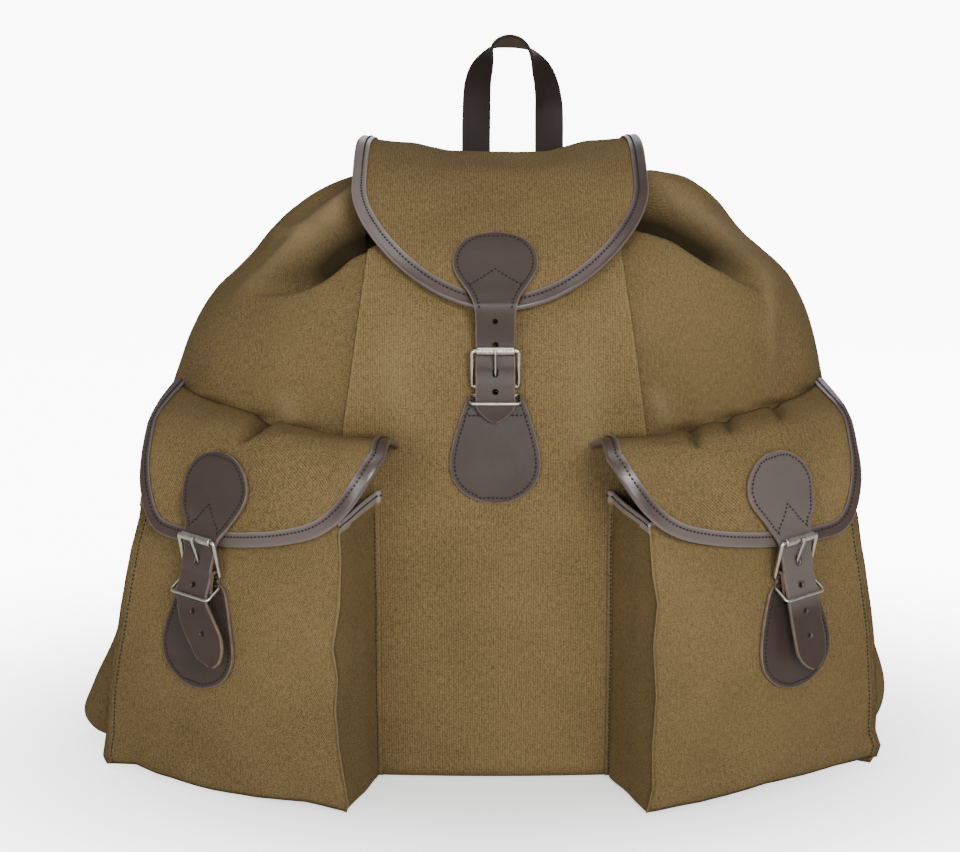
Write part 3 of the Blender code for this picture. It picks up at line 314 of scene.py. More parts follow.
# What the top's leather and the pockets' don't share: the tip, the holes' distances from the tongue's hole,
# where the head's sewing ends, the arrow sewn on the head, and how much fuller it is cut
StrapCut = namedtuple("StrapCut", "tip holes seam_end arrow fuller")
TOP_CUT = StrapCut(TOP_TIP_CUT, (-0.0330, -0.0178, 0.0118), 0.056,
                   ((-0.0155, 0.0400), (0.0, 0.0285), (0.0155, 0.0400)), 0.0)
POCKET_CUT = StrapCut(POCKET_TIP_CUT, (0.0158, 0.0325, 0.0485), 0.050,
                      ((-0.0118, 0.0492), (0.0, 0.0335), (0.0118, 0.0492)), 0.13)

# The chape's slot, its neck's length before the leaf, and its sewing, measured from the heel bar
SLOT_START, SLOT_PAST, SLOT_RADIUS = 0.0040, 0.0045, 0.0016
LEAF_START, LEAF_SEAM_START = 0.0035, 0.006
CROSS_SEAM, CROSS_SEAM_HALF = 0.0185, 0.0190
FINE_STITCH = (0.0027, 0.0019)
# How far past the tongue's hole a strap head's painted sheen reaches, and over how much it fades
PALE_PAST, PALE_FADE = 0.020, 0.016

# Each closure: its heel bar's place, its turn and lean, how far its roller stands out more than the bar, the
# gap from roller to head, the free end, the keeper's place, the free end's sway, and the painted sheen on its
# head
LEFT_TAIL = tuple(station._replace(height=0.965 * station.height) for station in POCKET_STRAP_TAIL)
RIGHT_TAIL = tuple(station._replace(height=1.10 * station.height) for station in POCKET_STRAP_TAIL)
LEAN = math.radians(6.5)
Closure = namedtuple(
    "Closure", "name x y z turn lean step head_gap tail keeper_depth keeper_height sway pale cut")
CLOSURES = (
    Closure("top", 0.0006, -0.130, 0.2600, 0.0, 0.0, 0.0, 0.0265, TOP_STRAP_TAIL,
            0.0131, -0.0104, 0.0, 0.0, TOP_CUT),
    Closure("left", -0.1820, -0.145, 0.1440, -POCKET_TURN, LEAN, 0.0048, 0.0090, LEFT_TAIL,
            0.0148, -0.0140, 0.025, 0.05, POCKET_CUT),
    Closure("right", 0.1860, -0.145, 0.1440, POCKET_TURN, -LEAN, 0.0048, 0.0090, RIGHT_TAIL,
            0.0148, -0.0140, 0.002, 0.26, POCKET_CUT),
)

# A strap's edge: shares of its half width across, how round it is, how far it is rubbed, and its sewing
STRAP_SHARES = (0.0, 0.3, 0.55, 0.75, 0.87, 0.94, 0.97, 0.99, 1.0)
EDGE_TURNS = (30, 60, 90)
EDGE_ROUND, RIM_WEAR, LEAST_HALF, SEAM_INSET = 0.0006, 0.0006, 0.0012, 0.0032
END_LENGTH, END_ROWS, END_CROWD = 0.008, 14, 1.6

# Where each pocket's corners and bottom wander: height and distance out, and share of the front and height
INNER_SEAM = {
    -1: ((0.000, 0.0923), (0.008, 0.0904), (0.026, 0.0930), (0.045, 0.0956), (0.069, 0.0973), (0.089, 0.0959),
         (0.107, 0.0988), (0.133, 0.0949), (0.162, 0.0935), (0.184, 0.0945)),
    1: ((0.000, 0.0940), (0.019, 0.0975), (0.045, 0.0967), (0.078, 0.0988), (0.109, 0.0967), (0.135, 0.0991),
        (0.152, 0.0962), (0.184, 0.0940)),
}
OUTER_SEAM = {
    -1: ((0.000, 0.2530), (0.008, 0.2556), (0.025, 0.2533), (0.053, 0.2508), (0.082, 0.2458), (0.104, 0.2410),
         (0.131, 0.2368), (0.150, 0.2332), (0.170, 0.2266), (0.184, 0.2246)),
    1: ((0.000, 0.2510), (0.012, 0.2534), (0.026, 0.2492), (0.052, 0.2490), (0.091, 0.2455), (0.126, 0.2402),
        (0.150, 0.2362), (0.171, 0.2337), (0.184, 0.2300)),
}
BOTTOM_EDGE = {
    -1: ((0.0, 0.000), (0.148, 0.0022), (0.344, 0.0002), (0.52, 0.0), (0.646, 0.0006), (0.764, 0.0020),
         (0.869, 0.0046), (1.0, 0.0006)),
    1: ((0.0, 0.0), (0.212, 0.0004), (0.458, 0.0050), (0.785, 0.0066), (1.0, 0.0050)),
}

# The pockets' mesh, the pinched seams of their corners, the leather round their mouth and their sewing
GUSSET_COLUMNS, FRONT_COLUMNS = 22, 80
BOTTOM_ROWS, WALL_ROWS = 12, 90
BOTTOM_RINGS = (0.25, 0.5, 0.75, 0.96)
PINCH, PINCH_HALF = 0.0022, 0.0012
# The last is a painted sheen on the leather round the mouth
MOUTH_BAND, BAND_RAISED, BAND_SHEEN = 0.007, 0.0008, 0.60
SACK_SEAM_INSET = 0.0032

# The lip and the groove where a pocket meets the sack: distance from the sack, reach, and height or depth
LIP_OFF, LIP_REACH, LIP_RAISED = 0.0010, 0.0012, 0.0018
GROOVE_OFF, GROOVE_REACH, GROOVE_SUNK = 0.0040, 0.0014, 0.0008

# How strongly the pockets are marked: rub and painted highlight on the inner and the outer front seam,
# painted shadow beside them, painted shade up from the bottom edge, painted highlight on the lip, and
# painted shade in the groove and low on the wall
INNER_RUB_AND_HIGHLIGHT, OUTER_RUB_AND_HIGHLIGHT, INNER_SHADOW, OUTER_SHADOW = 0.24, 0.12, 0.30, 0.35
BOTTOM_SHADE, BOTTOM_SHADE_ROWS = 0.75, 5
LIP_HIGHLIGHT, GROOVE_SHADE, LOW_SHADE, LOW_SHADE_TOP = 0.14, 0.35, 0.16, 0.17

# The handle and the back
HANDLE_HALF = 0.010
HANDLE_LEFT, HANDLE_RIGHT = -0.012, 0.040
HANDLE_BACK = 0.0970
HANDLE_LEG = ((0.3060, 0.0048), (0.3200, 0.0056))
HANDLE_LOOP = (
    (-0.0118, 0.3450, 0), (-0.0118, 0.4001, 0), (-0.0116, 0.4226, 5), (-0.0110, 0.4423, 20),
    (-0.0095, 0.4520, 32), (-0.0069, 0.4594, 46), (-0.0038, 0.4660, 67), (-0.0009, 0.4716, 88),
    (0.0030, 0.4745, 102), (0.0072, 0.4759, 109), (0.0117, 0.4763, 112), (0.0163, 0.4758, 110),
    (0.0209, 0.4741, 103), (0.0256, 0.4709, 89), (0.0305, 0.4646, 70), (0.0344, 0.4569, 49),
    (0.0374, 0.4479, 36), (0.0392, 0.4374, 24), (0.0398, 0.4262, 9), (0.0399, 0.4016, 0),
    (0.0400, 0.3450, 0),
)
YOKE_HEIGHTS = (0.280, 0.294, 0.308, 0.322, 0.336)
YOKE_HALF = 0.066
BackStation = namedtuple("BackStation", "across height off half")
SHOULDER_STRAP = (
    BackStation(0.042, 0.302, 0.0048, 0.0190), BackStation(0.044, 0.290, 0.0048, 0.0190),
    BackStation(0.051, 0.270, 0.0100, 0.0190), BackStation(0.068, 0.236, 0.0240, 0.0190),
    BackStation(0.090, 0.186, 0.0290, 0.0190), BackStation(0.116, 0.136, 0.0260, 0.0170),
    BackStation(0.134, 0.094, 0.0160, 0.0130), BackStation(0.141, 0.066, 0.0056, 0.0125),
    BackStation(0.143, 0.050, 0.0050, 0.0125),
)
ANCHOR_HEIGHTS = (0.030, 0.044, 0.058, 0.072)
ANCHOR_ACROSS, ANCHOR_HALF = 0.142, 0.020
BACK_OFF, PATCH_CORNER, PATCH_SEAM, SHOULDER_SEAM = 0.0008, 0.008, 0.004, 0.003

# The finishes' second colours: the canvas's rub and painted highlight, the suede's dark and pale, the
# strap leather's rub and painted sheen and the edge leather's painted sheen; and how each leather is finished
CANVAS_RUB_AND_HIGHLIGHT = (0.36, 0.27, 0.15)
SUEDE_DARK, SUEDE_PALE = (0.036, 0.026, 0.012), (0.100, 0.074, 0.036)
LEATHER_RUB_AND_SHEEN, BINDING_SHEEN = (0.27, 0.232, 0.212), (0.36, 0.31, 0.29)
Finish = namedtuple("Finish", "roughness grain grain_depth gloss")
LEATHER_FINISH = Finish(0.46, 1100.0, 0.00014, 0.34)
BINDING_FINISH = Finish(0.34, 1700.0, 0.00004, 0.60)
HANDLE_FINISH = Finish(0.55, 1500.0, 0.00005, 0.16)


class RucksackSizes(bpy.types.PropertyGroup):
    canvas: FloatProperty(name="Canvas", description="Thickness of the cloth", default=0.0014, unit="LENGTH")
    leather: FloatProperty(name="Leather", description="Thickness of the straps", default=0.0024,
                           unit="LENGTH")
    binding: FloatProperty(name="Binding", description="Thickness of the edge leather", default=0.0012,
                           unit="LENGTH")
    binding_width: FloatProperty(name="Binding width", description="How far the edge leather covers a flap",
                                 default=0.0078, unit="LENGTH")
    stitch: FloatProperty(name="Stitch", description="Distance from one stitch to the next", default=0.0028,
                          unit="LENGTH")
    thread: FloatProperty(name="Thread", description="Thickness of the thread", default=0.0013, unit="LENGTH")
    rib: FloatProperty(name="Rib", description="Distance between the ribs of the cloth", default=0.0015,
                       unit="LENGTH")


class RucksackColours(bpy.types.PropertyGroup):
    canvas: FloatVectorProperty(name="Canvas", description="Colour of the cloth", subtype="COLOR",
                                default=(0.137, 0.0945, 0.0405))
    leather: FloatVectorProperty(name="Leather", description="Colour of straps and patches", subtype="COLOR",
                                 default=(0.0345, 0.0212, 0.0154))
    binding: FloatVectorProperty(name="Binding", description="Colour of the edge leather", subtype="COLOR",
                                 default=(0.044, 0.026, 0.021))
    handle: FloatVectorProperty(name="Handle", description="Colour of the handle", subtype="COLOR",
                                default=(0.014, 0.008, 0.007))
    edge: FloatVectorProperty(name="Cut edge", description="Colour of cut leather", subtype="COLOR",
                              default=(0.175, 0.122, 0.088))
    thread: FloatVectorProperty(name="Thread", description="Colour of the thread", subtype="COLOR",
                                default=(0.004, 0.003, 0.003))
    metal: FloatVectorProperty(name="Metal", description="Colour of the buckles", subtype="COLOR",
                               default=(0.52, 0.49, 0.43))
    floor: FloatVectorProperty(name="Floor", description="Colour of the floor", subtype="COLOR",
                               default=(0.86, 0.86, 0.86))


def sizes():
    return bpy.context.scene.rucksack_sizes


def colours():
    return bpy.context.scene.rucksack_colours


# Curves and surfaces

def ease(value, low, high):
    """0 up to low, 1 from high on, smooth between."""
    t = np.clip((np.asarray(value, float) - low) / (high - low), 0.0, 1.0)
    return t * t * (3 - 2 * t)


def mix(a, b, t):
    return a + (b - a) * t


def blend_weights(t):
    """The four weights of a smooth curve between the middle two of four points."""
    return np.stack((0.5 * (-t + 2 * t**2 - t**3), 0.5 * (2 - 5 * t**2 + 3 * t**3),
                     0.5 * (t + 4 * t**2 - 3 * t**3), 0.5 * (t**3 - t**2)), axis=-1)


def with_ends(values):
    """The values with one more at each end, straight on."""
    values = np.asarray(values, float)
    return np.concatenate(([2 * values[0] - values[1]], values, [2 * values[-1] - values[-2]]))


def smooth_at(values, at):
    """Rows of a table, read at places between them."""
    padded = with_ends(values)
    at = np.asarray(at, float)
    i = np.clip(np.floor(at).astype(int), 0, len(values) - 2)
    weights = blend_weights(at - i)
    around = np.stack([padded[i + k] for k in range(4)], axis=-2) if padded.ndim > 1 else \
        np.stack([padded[i + k] for k in range(4)], axis=-1)
    if padded.ndim > 1:
        return np.einsum("...k,...kd->...d", weights, around)
    return np.einsum("...k,...k->...", weights, around)


def read_table(keys, values, wanted):
    """Smooth values of a table at keys that aren't evenly spaced."""
    return smooth_at(values, np.interp(wanted, keys, np.arange(len(keys))))


def curve_through(points, steps):
    """Points of a smooth curve through the given ones, steps to each span."""
    count = len(points) - 1
    return smooth_at(np.array(points, float), np.linspace(0, count, count * steps + 1))


def run_along(line):
    """How far along a line each of its points is."""
    return np.concatenate(([0.0], np.cumsum(np.linalg.norm(np.diff(line, axis=0), axis=1))))


def along(points, shares):
    """Points at shares of the way along a line of points."""
    points = np.asarray(points, float)
    lengths = run_along(points)
    wanted = np.asarray(shares, float) * lengths[-1]
    return np.stack([np.interp(wanted, lengths, points[:, k]) for k in range(points.shape[1])], axis=-1)


def unit(vectors):
    return vectors / np.maximum(np.linalg.norm(vectors, axis=-1, keepdims=True), 1e-12)


class Surface:
    """A smooth surface through a lattice of points: u runs across its columns and v down each, 0 to 1."""

    def __init__(self, columns):
        grid = np.array([[tuple(p) for p in column] for column in columns], float)
        self.across, self.down = grid.shape[:2]
        self.grid = np.swapaxes(with_ends(np.swapaxes(with_ends(grid), 0, 1)), 0, 1)

    def point(self, u, v):
        u, v = np.broadcast_arrays(np.asarray(u, float), np.asarray(v, float))
        a, b = u * (self.across - 1), v * (self.down - 1)
        i = np.clip(np.floor(a).astype(int), 0, self.across - 2)
        j = np.clip(np.floor(b).astype(int), 0, self.down - 2)
        wa, wb = blend_weights(a - i), blend_weights(b - j)
        total = np.zeros(u.shape + (3,))
        for m in range(4):
            for n in range(4):
                total += (wa[..., m] * wb[..., n])[..., None] * self.grid[i + m, j + n]
        return total

    def slopes(self, u, v, step=0.004):
        return ((self.point(u + step, v) - self.point(u - step, v)) / (2 * step),
                (self.point(u, v + step) - self.point(u, v - step)) / (2 * step))

    def normal(self, u, v):
        """Faces away from the bag where u runs to the viewer's right and v runs down."""
        across, down = self.slopes(u, v)
        return unit(np.cross(down, across))

    def walk(self, u, v, way, distance, steps=8):
        """Where walks over the surface end that set off in a direction and turn with the surface."""
        for _ in range(steps):
            across, down = self.slopes(u, v)
            stride = way * (distance / steps)
            a, b, c = (across * across).sum(-1), (across * down).sum(-1), (down * down).sum(-1)
            d, e = (across * stride).sum(-1), (down * stride).sum(-1)
            u = u + (c * d - b * e) / (a * c - b * b)
            v = v + (a * e - b * d) / (a * c - b * b)
            normal = self.normal(u, v)
            way = unit(way - normal * (way * normal).sum(-1, keepdims=True))
        return u, v

    def inset(self, outline, distance):
        """The outline moved into the surface by a distance, as places on the surface."""
        u, v = outline
        points = self.point(u, v)
        tangent = unit(np.gradient(points, axis=0))
        return self.walk(u, v, unit(np.cross(self.normal(u, v), tangent)), distance)


# Meshes

def link(obj):
    bpy.context.scene.collection.objects.link(obj)
    return obj


def grid_object(name, points, uv=None, closed=False, marks=None, flip=False):
    """A mesh through rows of points, seen from outside with rows going up and columns right."""
    points = np.asarray(points, float)
    rows, columns = points.shape[:2]
    index = np.arange(rows * columns).reshape(rows, columns)
    a, d = index[:-1], index[1:]
    if closed:
        b, c = np.roll(a, -1, axis=1), np.roll(d, -1, axis=1)
    else:
        a, b, d, c = a[:, :-1], a[:, 1:], d[:, :-1], d[:, 1:]
    faces = np.stack((a, b, c, d), axis=-1).reshape(-1, 4)
    if flip:
        faces = faces[:, ::-1]
    mesh = bpy.data.meshes.new(name)
    mesh.from_pydata(points.reshape(-1, 3).tolist(), [], faces.tolist())
    if uv is not None:
        flat = np.asarray(uv, float).reshape(-1, 2)
        corners = flat[faces.reshape(-1)].copy()
        if closed:
            around = np.ptp(flat[:, 0].reshape(rows, columns), axis=1) * (1 + 1 / columns)
            around = np.repeat(around[:-1], columns)[:, None]
            quad = corners.reshape(-1, 4, 2)
            far = quad[:, :, 0].max(axis=1, keepdims=True) - quad[:, :, 0] > around / 2
            quad[:, :, 0] += far * around
        mesh.uv_layers.new(name="cloth").data.foreach_set("uv", corners.reshape(-1))
    for mark, values in (marks or {}).items():
        layer = mesh.attributes.new(mark, "FLOAT", "POINT")
        layer.data.foreach_set("value", np.asarray(values, float).reshape(-1))
    mesh.shade_smooth()
    return link(bpy.data.objects.new(name, mesh))


def thicken(obj, thickness, offset=-1.0):
    solidify = obj.modifiers.new("wall", "SOLIDIFY")
    solidify.thickness = thickness
    solidify.offset = offset
    return obj


def freeze(obj):
    """Turns what the modifiers make into the object's own plain mesh."""
    bpy.context.view_layer.update()
    mesh = bpy.data.meshes.new_from_object(obj.evaluated_get(bpy.context.evaluated_depsgraph_get()))
    old = obj.data
    name = obj.name
    if obj.type == "MESH":
        obj.modifiers.clear()
        obj.data = mesh
        bpy.data.meshes.remove(old)
        return obj
    mesh.transform(obj.matrix_world)
    bpy.data.objects.remove(obj)
    return link(bpy.data.objects.new(name, mesh))


def search_tree(obj):
    bpy.context.view_layer.update()
    return BVHTree.FromObject(obj, bpy.context.evaluated_depsgraph_get())


def on_front(tree, x, z, gap):
    """The point just off the surface where a line along +Y first meets it."""
    hit, normal, _, _ = tree.ray_cast(Vector((x, -1.0, z)), Vector((0.0, 1.0, 0.0)))
    return hit - Vector((0.0, gap / max(0.5, abs(normal.y)), 0.0))


def on_back(tree, x, z, off):
    hit, normal, _, _ = tree.ray_cast(Vector((x, 1.0, z)), Vector((0.0, -1.0, 0.0)))
    return hit + normal * off


def cloth_noise(points, scale, seed):
    """Soft noise over an array of points, about -1 to 1."""
    flat = points.reshape(-1, 3) / scale + seed
    return np.array([noise.noise(Vector(p)) for p in flat.tolist()]).reshape(points.shape[:-1])


def soft_relief(points, *waves):
    """How cloth waves: the size, seed and height of each wave."""
    return sum(cloth_noise(points, size, seed) * height for size, seed, height in waves)


def finish_piece(obj, material, slot, *replaced):
    """Gives a piece its material, its body and the solids that it stands for."""
    if material is not None:
        obj.data.materials.clear()
        obj.data.materials.append(material)
    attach(obj, BODY)
    if replaced:
        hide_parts(*replaced)
    return obj


# Materials

class Value:
    """One output socket, with the sums that Math nodes do."""

    def __init__(self, shader, socket):
        self.shader = shader
        self.socket = socket

    def sum(self, operation, *others, clamp=False):
        return self.shader.add("ShaderNodeMath", {"operation": operation, "use_clamp": clamp}, self, *others)

    def __add__(self, other):
        return self.sum("ADD", other)

    def __radd__(self, other):
        return self.sum("ADD", other)

    def __sub__(self, other):
        return self.sum("SUBTRACT", other)

    def __rsub__(self, other):
        return self.shader.add("ShaderNodeMath", {"operation": "SUBTRACT"}, other, self)

    def __mul__(self, other):
        return self.sum("MULTIPLY", other)

    def __rmul__(self, other):
        return self.sum("MULTIPLY", other)

    def __truediv__(self, other):
        return self.sum("DIVIDE", other)

    def __pow__(self, other):
        return self.sum("POWER", other)

    def abs(self):
        return self.sum("ABSOLUTE")

    def sine(self):
        return self.sum("SINE")

    def clamp(self):
        return self.sum("ADD", 0.0, clamp=True)

    def step(self, low, high):
        """0 below low, 1 above high, smooth between."""
        settings = {"interpolation_type": "SMOOTHSTEP"}
        return self.shader.add("ShaderNodeMapRange", settings, self, low, high, 0.0, 1.0)


class Shader:
    """A material's node tree, built a node at a time."""

    def __init__(self, name, roughness=0.5, metallic=0.0):
        self.material = bpy.data.materials.new(name)
        self.material.use_nodes = True
        self.tree = self.material.node_tree
        self.surface = self.tree.nodes["Principled BSDF"]
        self.surface.inputs["Roughness"].default_value = roughness
        self.surface.inputs["Metallic"].default_value = metallic

    def add(self, kind, settings=None, *inputs, output=0, **named):
        node = self.tree.nodes.new(kind)
        for key, value in (settings or {}).items():
            setattr(node, key, value)
        for key, value in [*enumerate(inputs), *named.items()]:
            self.feed(node.inputs[key.replace("_", " ") if isinstance(key, str) else key], value)
        return Value(self, node.outputs[output])

    def feed(self, socket, value):
        if isinstance(value, Value):
            self.tree.links.new(value.socket, socket)
        elif isinstance(value, (tuple, list)) and len(value) == 3 and socket.type == "RGBA":
            socket.default_value = (*value, 1.0)
        else:
            socket.default_value = value

    def set(self, name, value):
        self.feed(self.surface.inputs[name], value)

    def object_place(self):
        return self.add("ShaderNodeTexCoord", output=3)

    def cloth_place(self):
        return self.add("ShaderNodeUVMap", {"uv_map": "cloth"})

    def mark(self, name):
        return self.add("ShaderNodeAttribute", {"attribute_name": name}, output=2)

    def parts(self, vector):
        node = self.tree.nodes.new("ShaderNodeSeparateXYZ")
        self.tree.links.new(vector.socket, node.inputs[0])
        return [Value(self, out) for out in node.outputs]

    def stretch(self, vector, scale):
        return self.add("ShaderNodeMapping", None, vector, Scale=scale)

    def noise(self, place, scale, detail=2.0, roughness=0.5):
        return self.add("ShaderNodeTexNoise", None, Vector=place, Scale=scale, Detail=detail,
                        Roughness=roughness)

    def colour_mix(self, share, a, b, blend="MIX"):
        node = self.tree.nodes.new("ShaderNodeMix")
        node.data_type = "RGBA"
        node.blend_type = blend
        self.feed(node.inputs[0], share)
        self.feed(node.inputs[6], a)
        self.feed(node.inputs[7], b)
        return Value(self, node.outputs[2])

    def bump(self, height, distance, strength=1.0, normal=None):
        named = {"Height": height, "Distance": distance, "Strength": strength}
        if normal is not None:
            named["Normal"] = normal
        return self.add("ShaderNodeBump", None, **named)


def scaled(colour, factor):
    return tuple(channel * factor for channel in colour)


def canvas_material(name, twill):
    """Ribbed cotton: threads on the cloth's own map, uneven dye, rub with painted highlights, and painted
    shade.
    """
    shader = Shader(name, roughness=0.92)
    base = tuple(colours().canvas)
    place = shader.cloth_place()
    x, y, _ = shader.parts(place)
    rib = 2 * math.pi / sizes().rib
    ribs = ((x + y * 0.85) * (rib * 0.85)).sine() if twill else (x * rib).sine()
    weft = (y * (rib * 1.6)).sine()
    space = shader.object_place()
    slub = shader.noise(shader.stretch(place, (1.0, 0.4, 1.0)), 600.0, 2.0, 0.6)
    fine = shader.noise(place, 950.0, 2.0, 0.7)
    patch = shader.noise(space, 22.0, 4.0, 0.55)
    cloud = shader.noise(space, 7.0, 2.0, 0.5)
    light = 0.5 + ribs * (0.18 if twill else 0.13) + (slub - 0.5) * 1.1 + (fine - 0.5) * 2.1
    light = (light + (patch - 0.5) * 0.4 + (cloud - 0.5) * 0.4).clamp()
    colour = shader.colour_mix(light, scaled(base, 0.52), scaled(base, 1.52))
    # The mark lightens the cloth with rub and with painted highlights on rims, ridges and lips
    colour = shader.colour_mix(shader.mark("wear").clamp(), colour, CANVAS_RUB_AND_HIGHLIGHT)
    # Painted shade: the mark darkens the cloth where shade falls in folds, creases, seams, hollows and low
    # down
    colour = shader.colour_mix(shader.mark("grime").clamp(), colour, scaled(base, 0.16))
    shader.set("Base Color", colour)
    height = ribs * 0.5 + weft * 0.18 + (slub - 0.5) * 1.6 + (fine - 0.5) * 1.2
    normal = shader.bump(height, 0.00016, 0.8)
    normal = shader.bump(shader.noise(space, 60.0, 3.0, 0.5), 0.0012, 0.35, normal)
    shader.set("Normal", normal)
    shader.surface.inputs["Specular IOR Level"].default_value = 0.08
    return shader.material


def leather_material(name, colour, finish, worn):
    """Dyed leather with a fine grain, creases, dye that is thin along rubbed edges, and painted sheen in
    places.
    """
    shader = Shader(name)
    space = shader.object_place()
    cells = shader.add("ShaderNodeTexVoronoi", {"feature": "DISTANCE_TO_EDGE"}, Vector=space,
                       Scale=finish.grain)
    fine = shader.noise(space, finish.grain * 1.7, 3.0, 0.6)
    patch = shader.noise(space, 46.0, 4.0, 0.6)
    cloud = shader.noise(space, 12.0, 2.0, 0.5)
    light = (0.5 + (fine - 0.5) * 0.5 + (patch - 0.5) * 0.7 + (cloud - 0.5) * 0.6).clamp()
    dyed = shader.colour_mix(light, scaled(colour, 0.72), scaled(colour, 1.36))
    # The mark lightens towards worn: rub on strap rims, and painted sheen and highlights elsewhere
    dyed = shader.colour_mix(shader.mark("wear").clamp(), dyed, worn)
    shader.set("Base Color", dyed)
    shader.set("Roughness", (finish.roughness + (patch - 0.5) * 0.22 + (fine - 0.5) * 0.1).clamp())
    normal = shader.bump(cells.sum("MINIMUM", 0.25), finish.grain_depth, 0.5)
    normal = shader.bump(patch, 0.0006, 0.25, normal)
    shader.set("Normal", normal)
    shader.surface.inputs["Specular IOR Level"].default_value = finish.gloss
    return shader.material


def cut_edge_material():
    """The raw edge of cut leather: pale fibre, darker where dye has run in."""
    shader = Shader("cut edge", roughness=0.8)
    space = shader.object_place()
    fibre = shader.noise(space, 900.0, 3.0, 0.6)
    stain = shader.noise(space, 120.0, 3.0, 0.6)
    light = (0.5 + (fibre - 0.5) * 0.8 + (stain - 0.5) * 1.4).clamp()
    edge = tuple(colours().edge)
    shader.set("Base Color", shader.colour_mix(light, scaled(edge, 0.35), edge))
    shader.set("Normal", shader.bump(fibre, 0.0002, 0.6))
    return shader.material


def metal_material():
    """Dull nickel: brushed, a little uneven, darker where it is worn."""
    shader = Shader("dull nickel", metallic=1.0)
    space = shader.object_place()
    fine = shader.noise(space, 1500.0, 2.0, 0.6)
    patch = shader.noise(space, 240.0, 3.0, 0.6)
    colour = tuple(colours().metal)
    shader.set("Base Color", shader.colour_mix((patch + (fine - 0.5) * 0.3).clamp(), scaled(colour, 0.72),
                                               scaled(colour, 1.18)))
    shader.set("Roughness", (0.30 + (patch - 0.5) * 0.25).clamp())
    shader.set("Normal", shader.bump(fine, 0.00004, 0.35))
    return shader.material


def suede_material():
    """The napped inner face of the handle."""
    shader = Shader("suede", roughness=0.95)
    space = shader.object_place()
    nap = shader.noise(space, 900.0, 3.0, 0.6)
    patch = shader.noise(space, 90.0, 3.0, 0.5)
    light = (0.5 + (nap - 0.5) * 0.9 + (patch - 0.5) * 0.8).clamp()
    shader.set("Base Color", shader.colour_mix(light, SUEDE_DARK, SUEDE_PALE))
    shader.set("Normal", shader.bump(nap, 0.0003, 0.7))
    return shader.material


def thread_material():
    shader = Shader("thread", roughness=0.75)
    place = shader.object_place()
    ply = shader.noise(place, 2500.0, 1.0, 0.5)
    colour = tuple(colours().thread)
    shader.set("Base Color", shader.colour_mix(ply, scaled(colour, 0.5), scaled(colour, 2.2)))
    return shader.material


def floor_material():
    """A pale floor that glows: to the camera it brightens to white away from the middle, and it sheds a faint
    glow.
    """
    shader = Shader("pale floor", roughness=0.75)
    shader.set("Base Color", tuple(colours().floor))
    x, y, _ = shader.parts(shader.object_place())
    reach = (x * x + y * y) ** 0.5
    seen = shader.add("ShaderNodeLightPath")
    # Painted light: the floor glows white to the camera away from the middle, and faintly for every other ray
    white = shader.colour_mix(reach.step(0.12, 0.75), (0.09, 0.09, 0.09), (1.0, 1.0, 1.0))
    shader.set("Emission Color", shader.colour_mix(seen, (0.015, 0.015, 0.015), white))
    shader.surface.inputs["Emission Strength"].default_value = WORLD_SEEN
    return shader.material


MATERIALS = {}


def make_materials():
    tone = colours()
    MATERIALS["panel"] = canvas_material("ribbed canvas", twill=False)
    MATERIALS["twill"] = canvas_material("twill canvas", twill=True)
    leathers = (("leather", "strap leather", tone.leather, LEATHER_FINISH, LEATHER_RUB_AND_SHEEN),
                ("binding", "binding leather", tone.binding, BINDING_FINISH, BINDING_SHEEN),
                ("handle", "handle leather", tone.handle, HANDLE_FINISH, tone.edge))
    for key, name, dye, finish, worn in leathers:
        MATERIALS[key] = leather_material(name, tuple(dye), finish, tuple(worn))
    MATERIALS["edge"] = cut_edge_material()
    MATERIALS["metal"] = metal_material()
    MATERIALS["thread"] = thread_material()
    MATERIALS["suede"] = suede_material()
    MATERIALS["floor"] = floor_material()


# Stitching

def stitch_tree(material):
    """Geometry nodes: a short bead of thread at even steps along every line."""
    tree = bpy.data.node_groups.new("stitching", "GeometryNodeTree")
    face = tree.interface
    face.new_socket("Lines", in_out="INPUT", socket_type="NodeSocketGeometry")
    for name in ("Step", "Length", "Thickness"):
        face.new_socket(name, in_out="INPUT", socket_type="NodeSocketFloat")
    face.new_socket("Stitches", in_out="OUTPUT", socket_type="NodeSocketGeometry")

    def node(kind, **settings):
        made = tree.nodes.new(kind)
        for key, value in settings.items():
            setattr(made, key, value)
        return made

    def join(a, b):
        tree.links.new(a, b)

    source, out = node("NodeGroupInput"), node("NodeGroupOutput")
    spread = node("GeometryNodeResampleCurve", mode="LENGTH")
    join(source.outputs["Lines"], spread.inputs["Curve"])
    join(source.outputs["Step"], spread.inputs["Length"])
    points = node("GeometryNodeCurveToPoints", mode="EVALUATED")
    join(spread.outputs["Curve"], points.inputs["Curve"])
    bead = node("GeometryNodeMeshUVSphere")
    bead.inputs["Segments"].default_value = 6
    bead.inputs["Rings"].default_value = 4
    bead.inputs["Radius"].default_value = 0.5
    size = node("ShaderNodeCombineXYZ")
    join(source.outputs["Thickness"], size.inputs[0])
    join(source.outputs["Thickness"], size.inputs[1])
    join(source.outputs["Length"], size.inputs[2])
    place = node("GeometryNodeInstanceOnPoints")
    join(points.outputs["Points"], place.inputs["Points"])
    join(bead.outputs["Mesh"], place.inputs["Instance"])
    join(size.outputs[0], place.inputs["Scale"])
    align = node("FunctionNodeAlignRotationToVector", axis="Z")
    join(points.outputs["Tangent"], align.inputs["Vector"])
    join(align.outputs["Rotation"], place.inputs["Rotation"])
    real = node("GeometryNodeRealizeInstances")
    join(place.outputs["Instances"], real.inputs["Geometry"])
    smooth = node("GeometryNodeSetShadeSmooth")
    join(real.outputs["Geometry"], smooth.inputs[0])
    dye = node("GeometryNodeSetMaterial")
    dye.inputs["Material"].default_value = material
    join(smooth.outputs[0], dye.inputs["Geometry"])
    join(dye.outputs["Geometry"], out.inputs["Stitches"])
    return tree


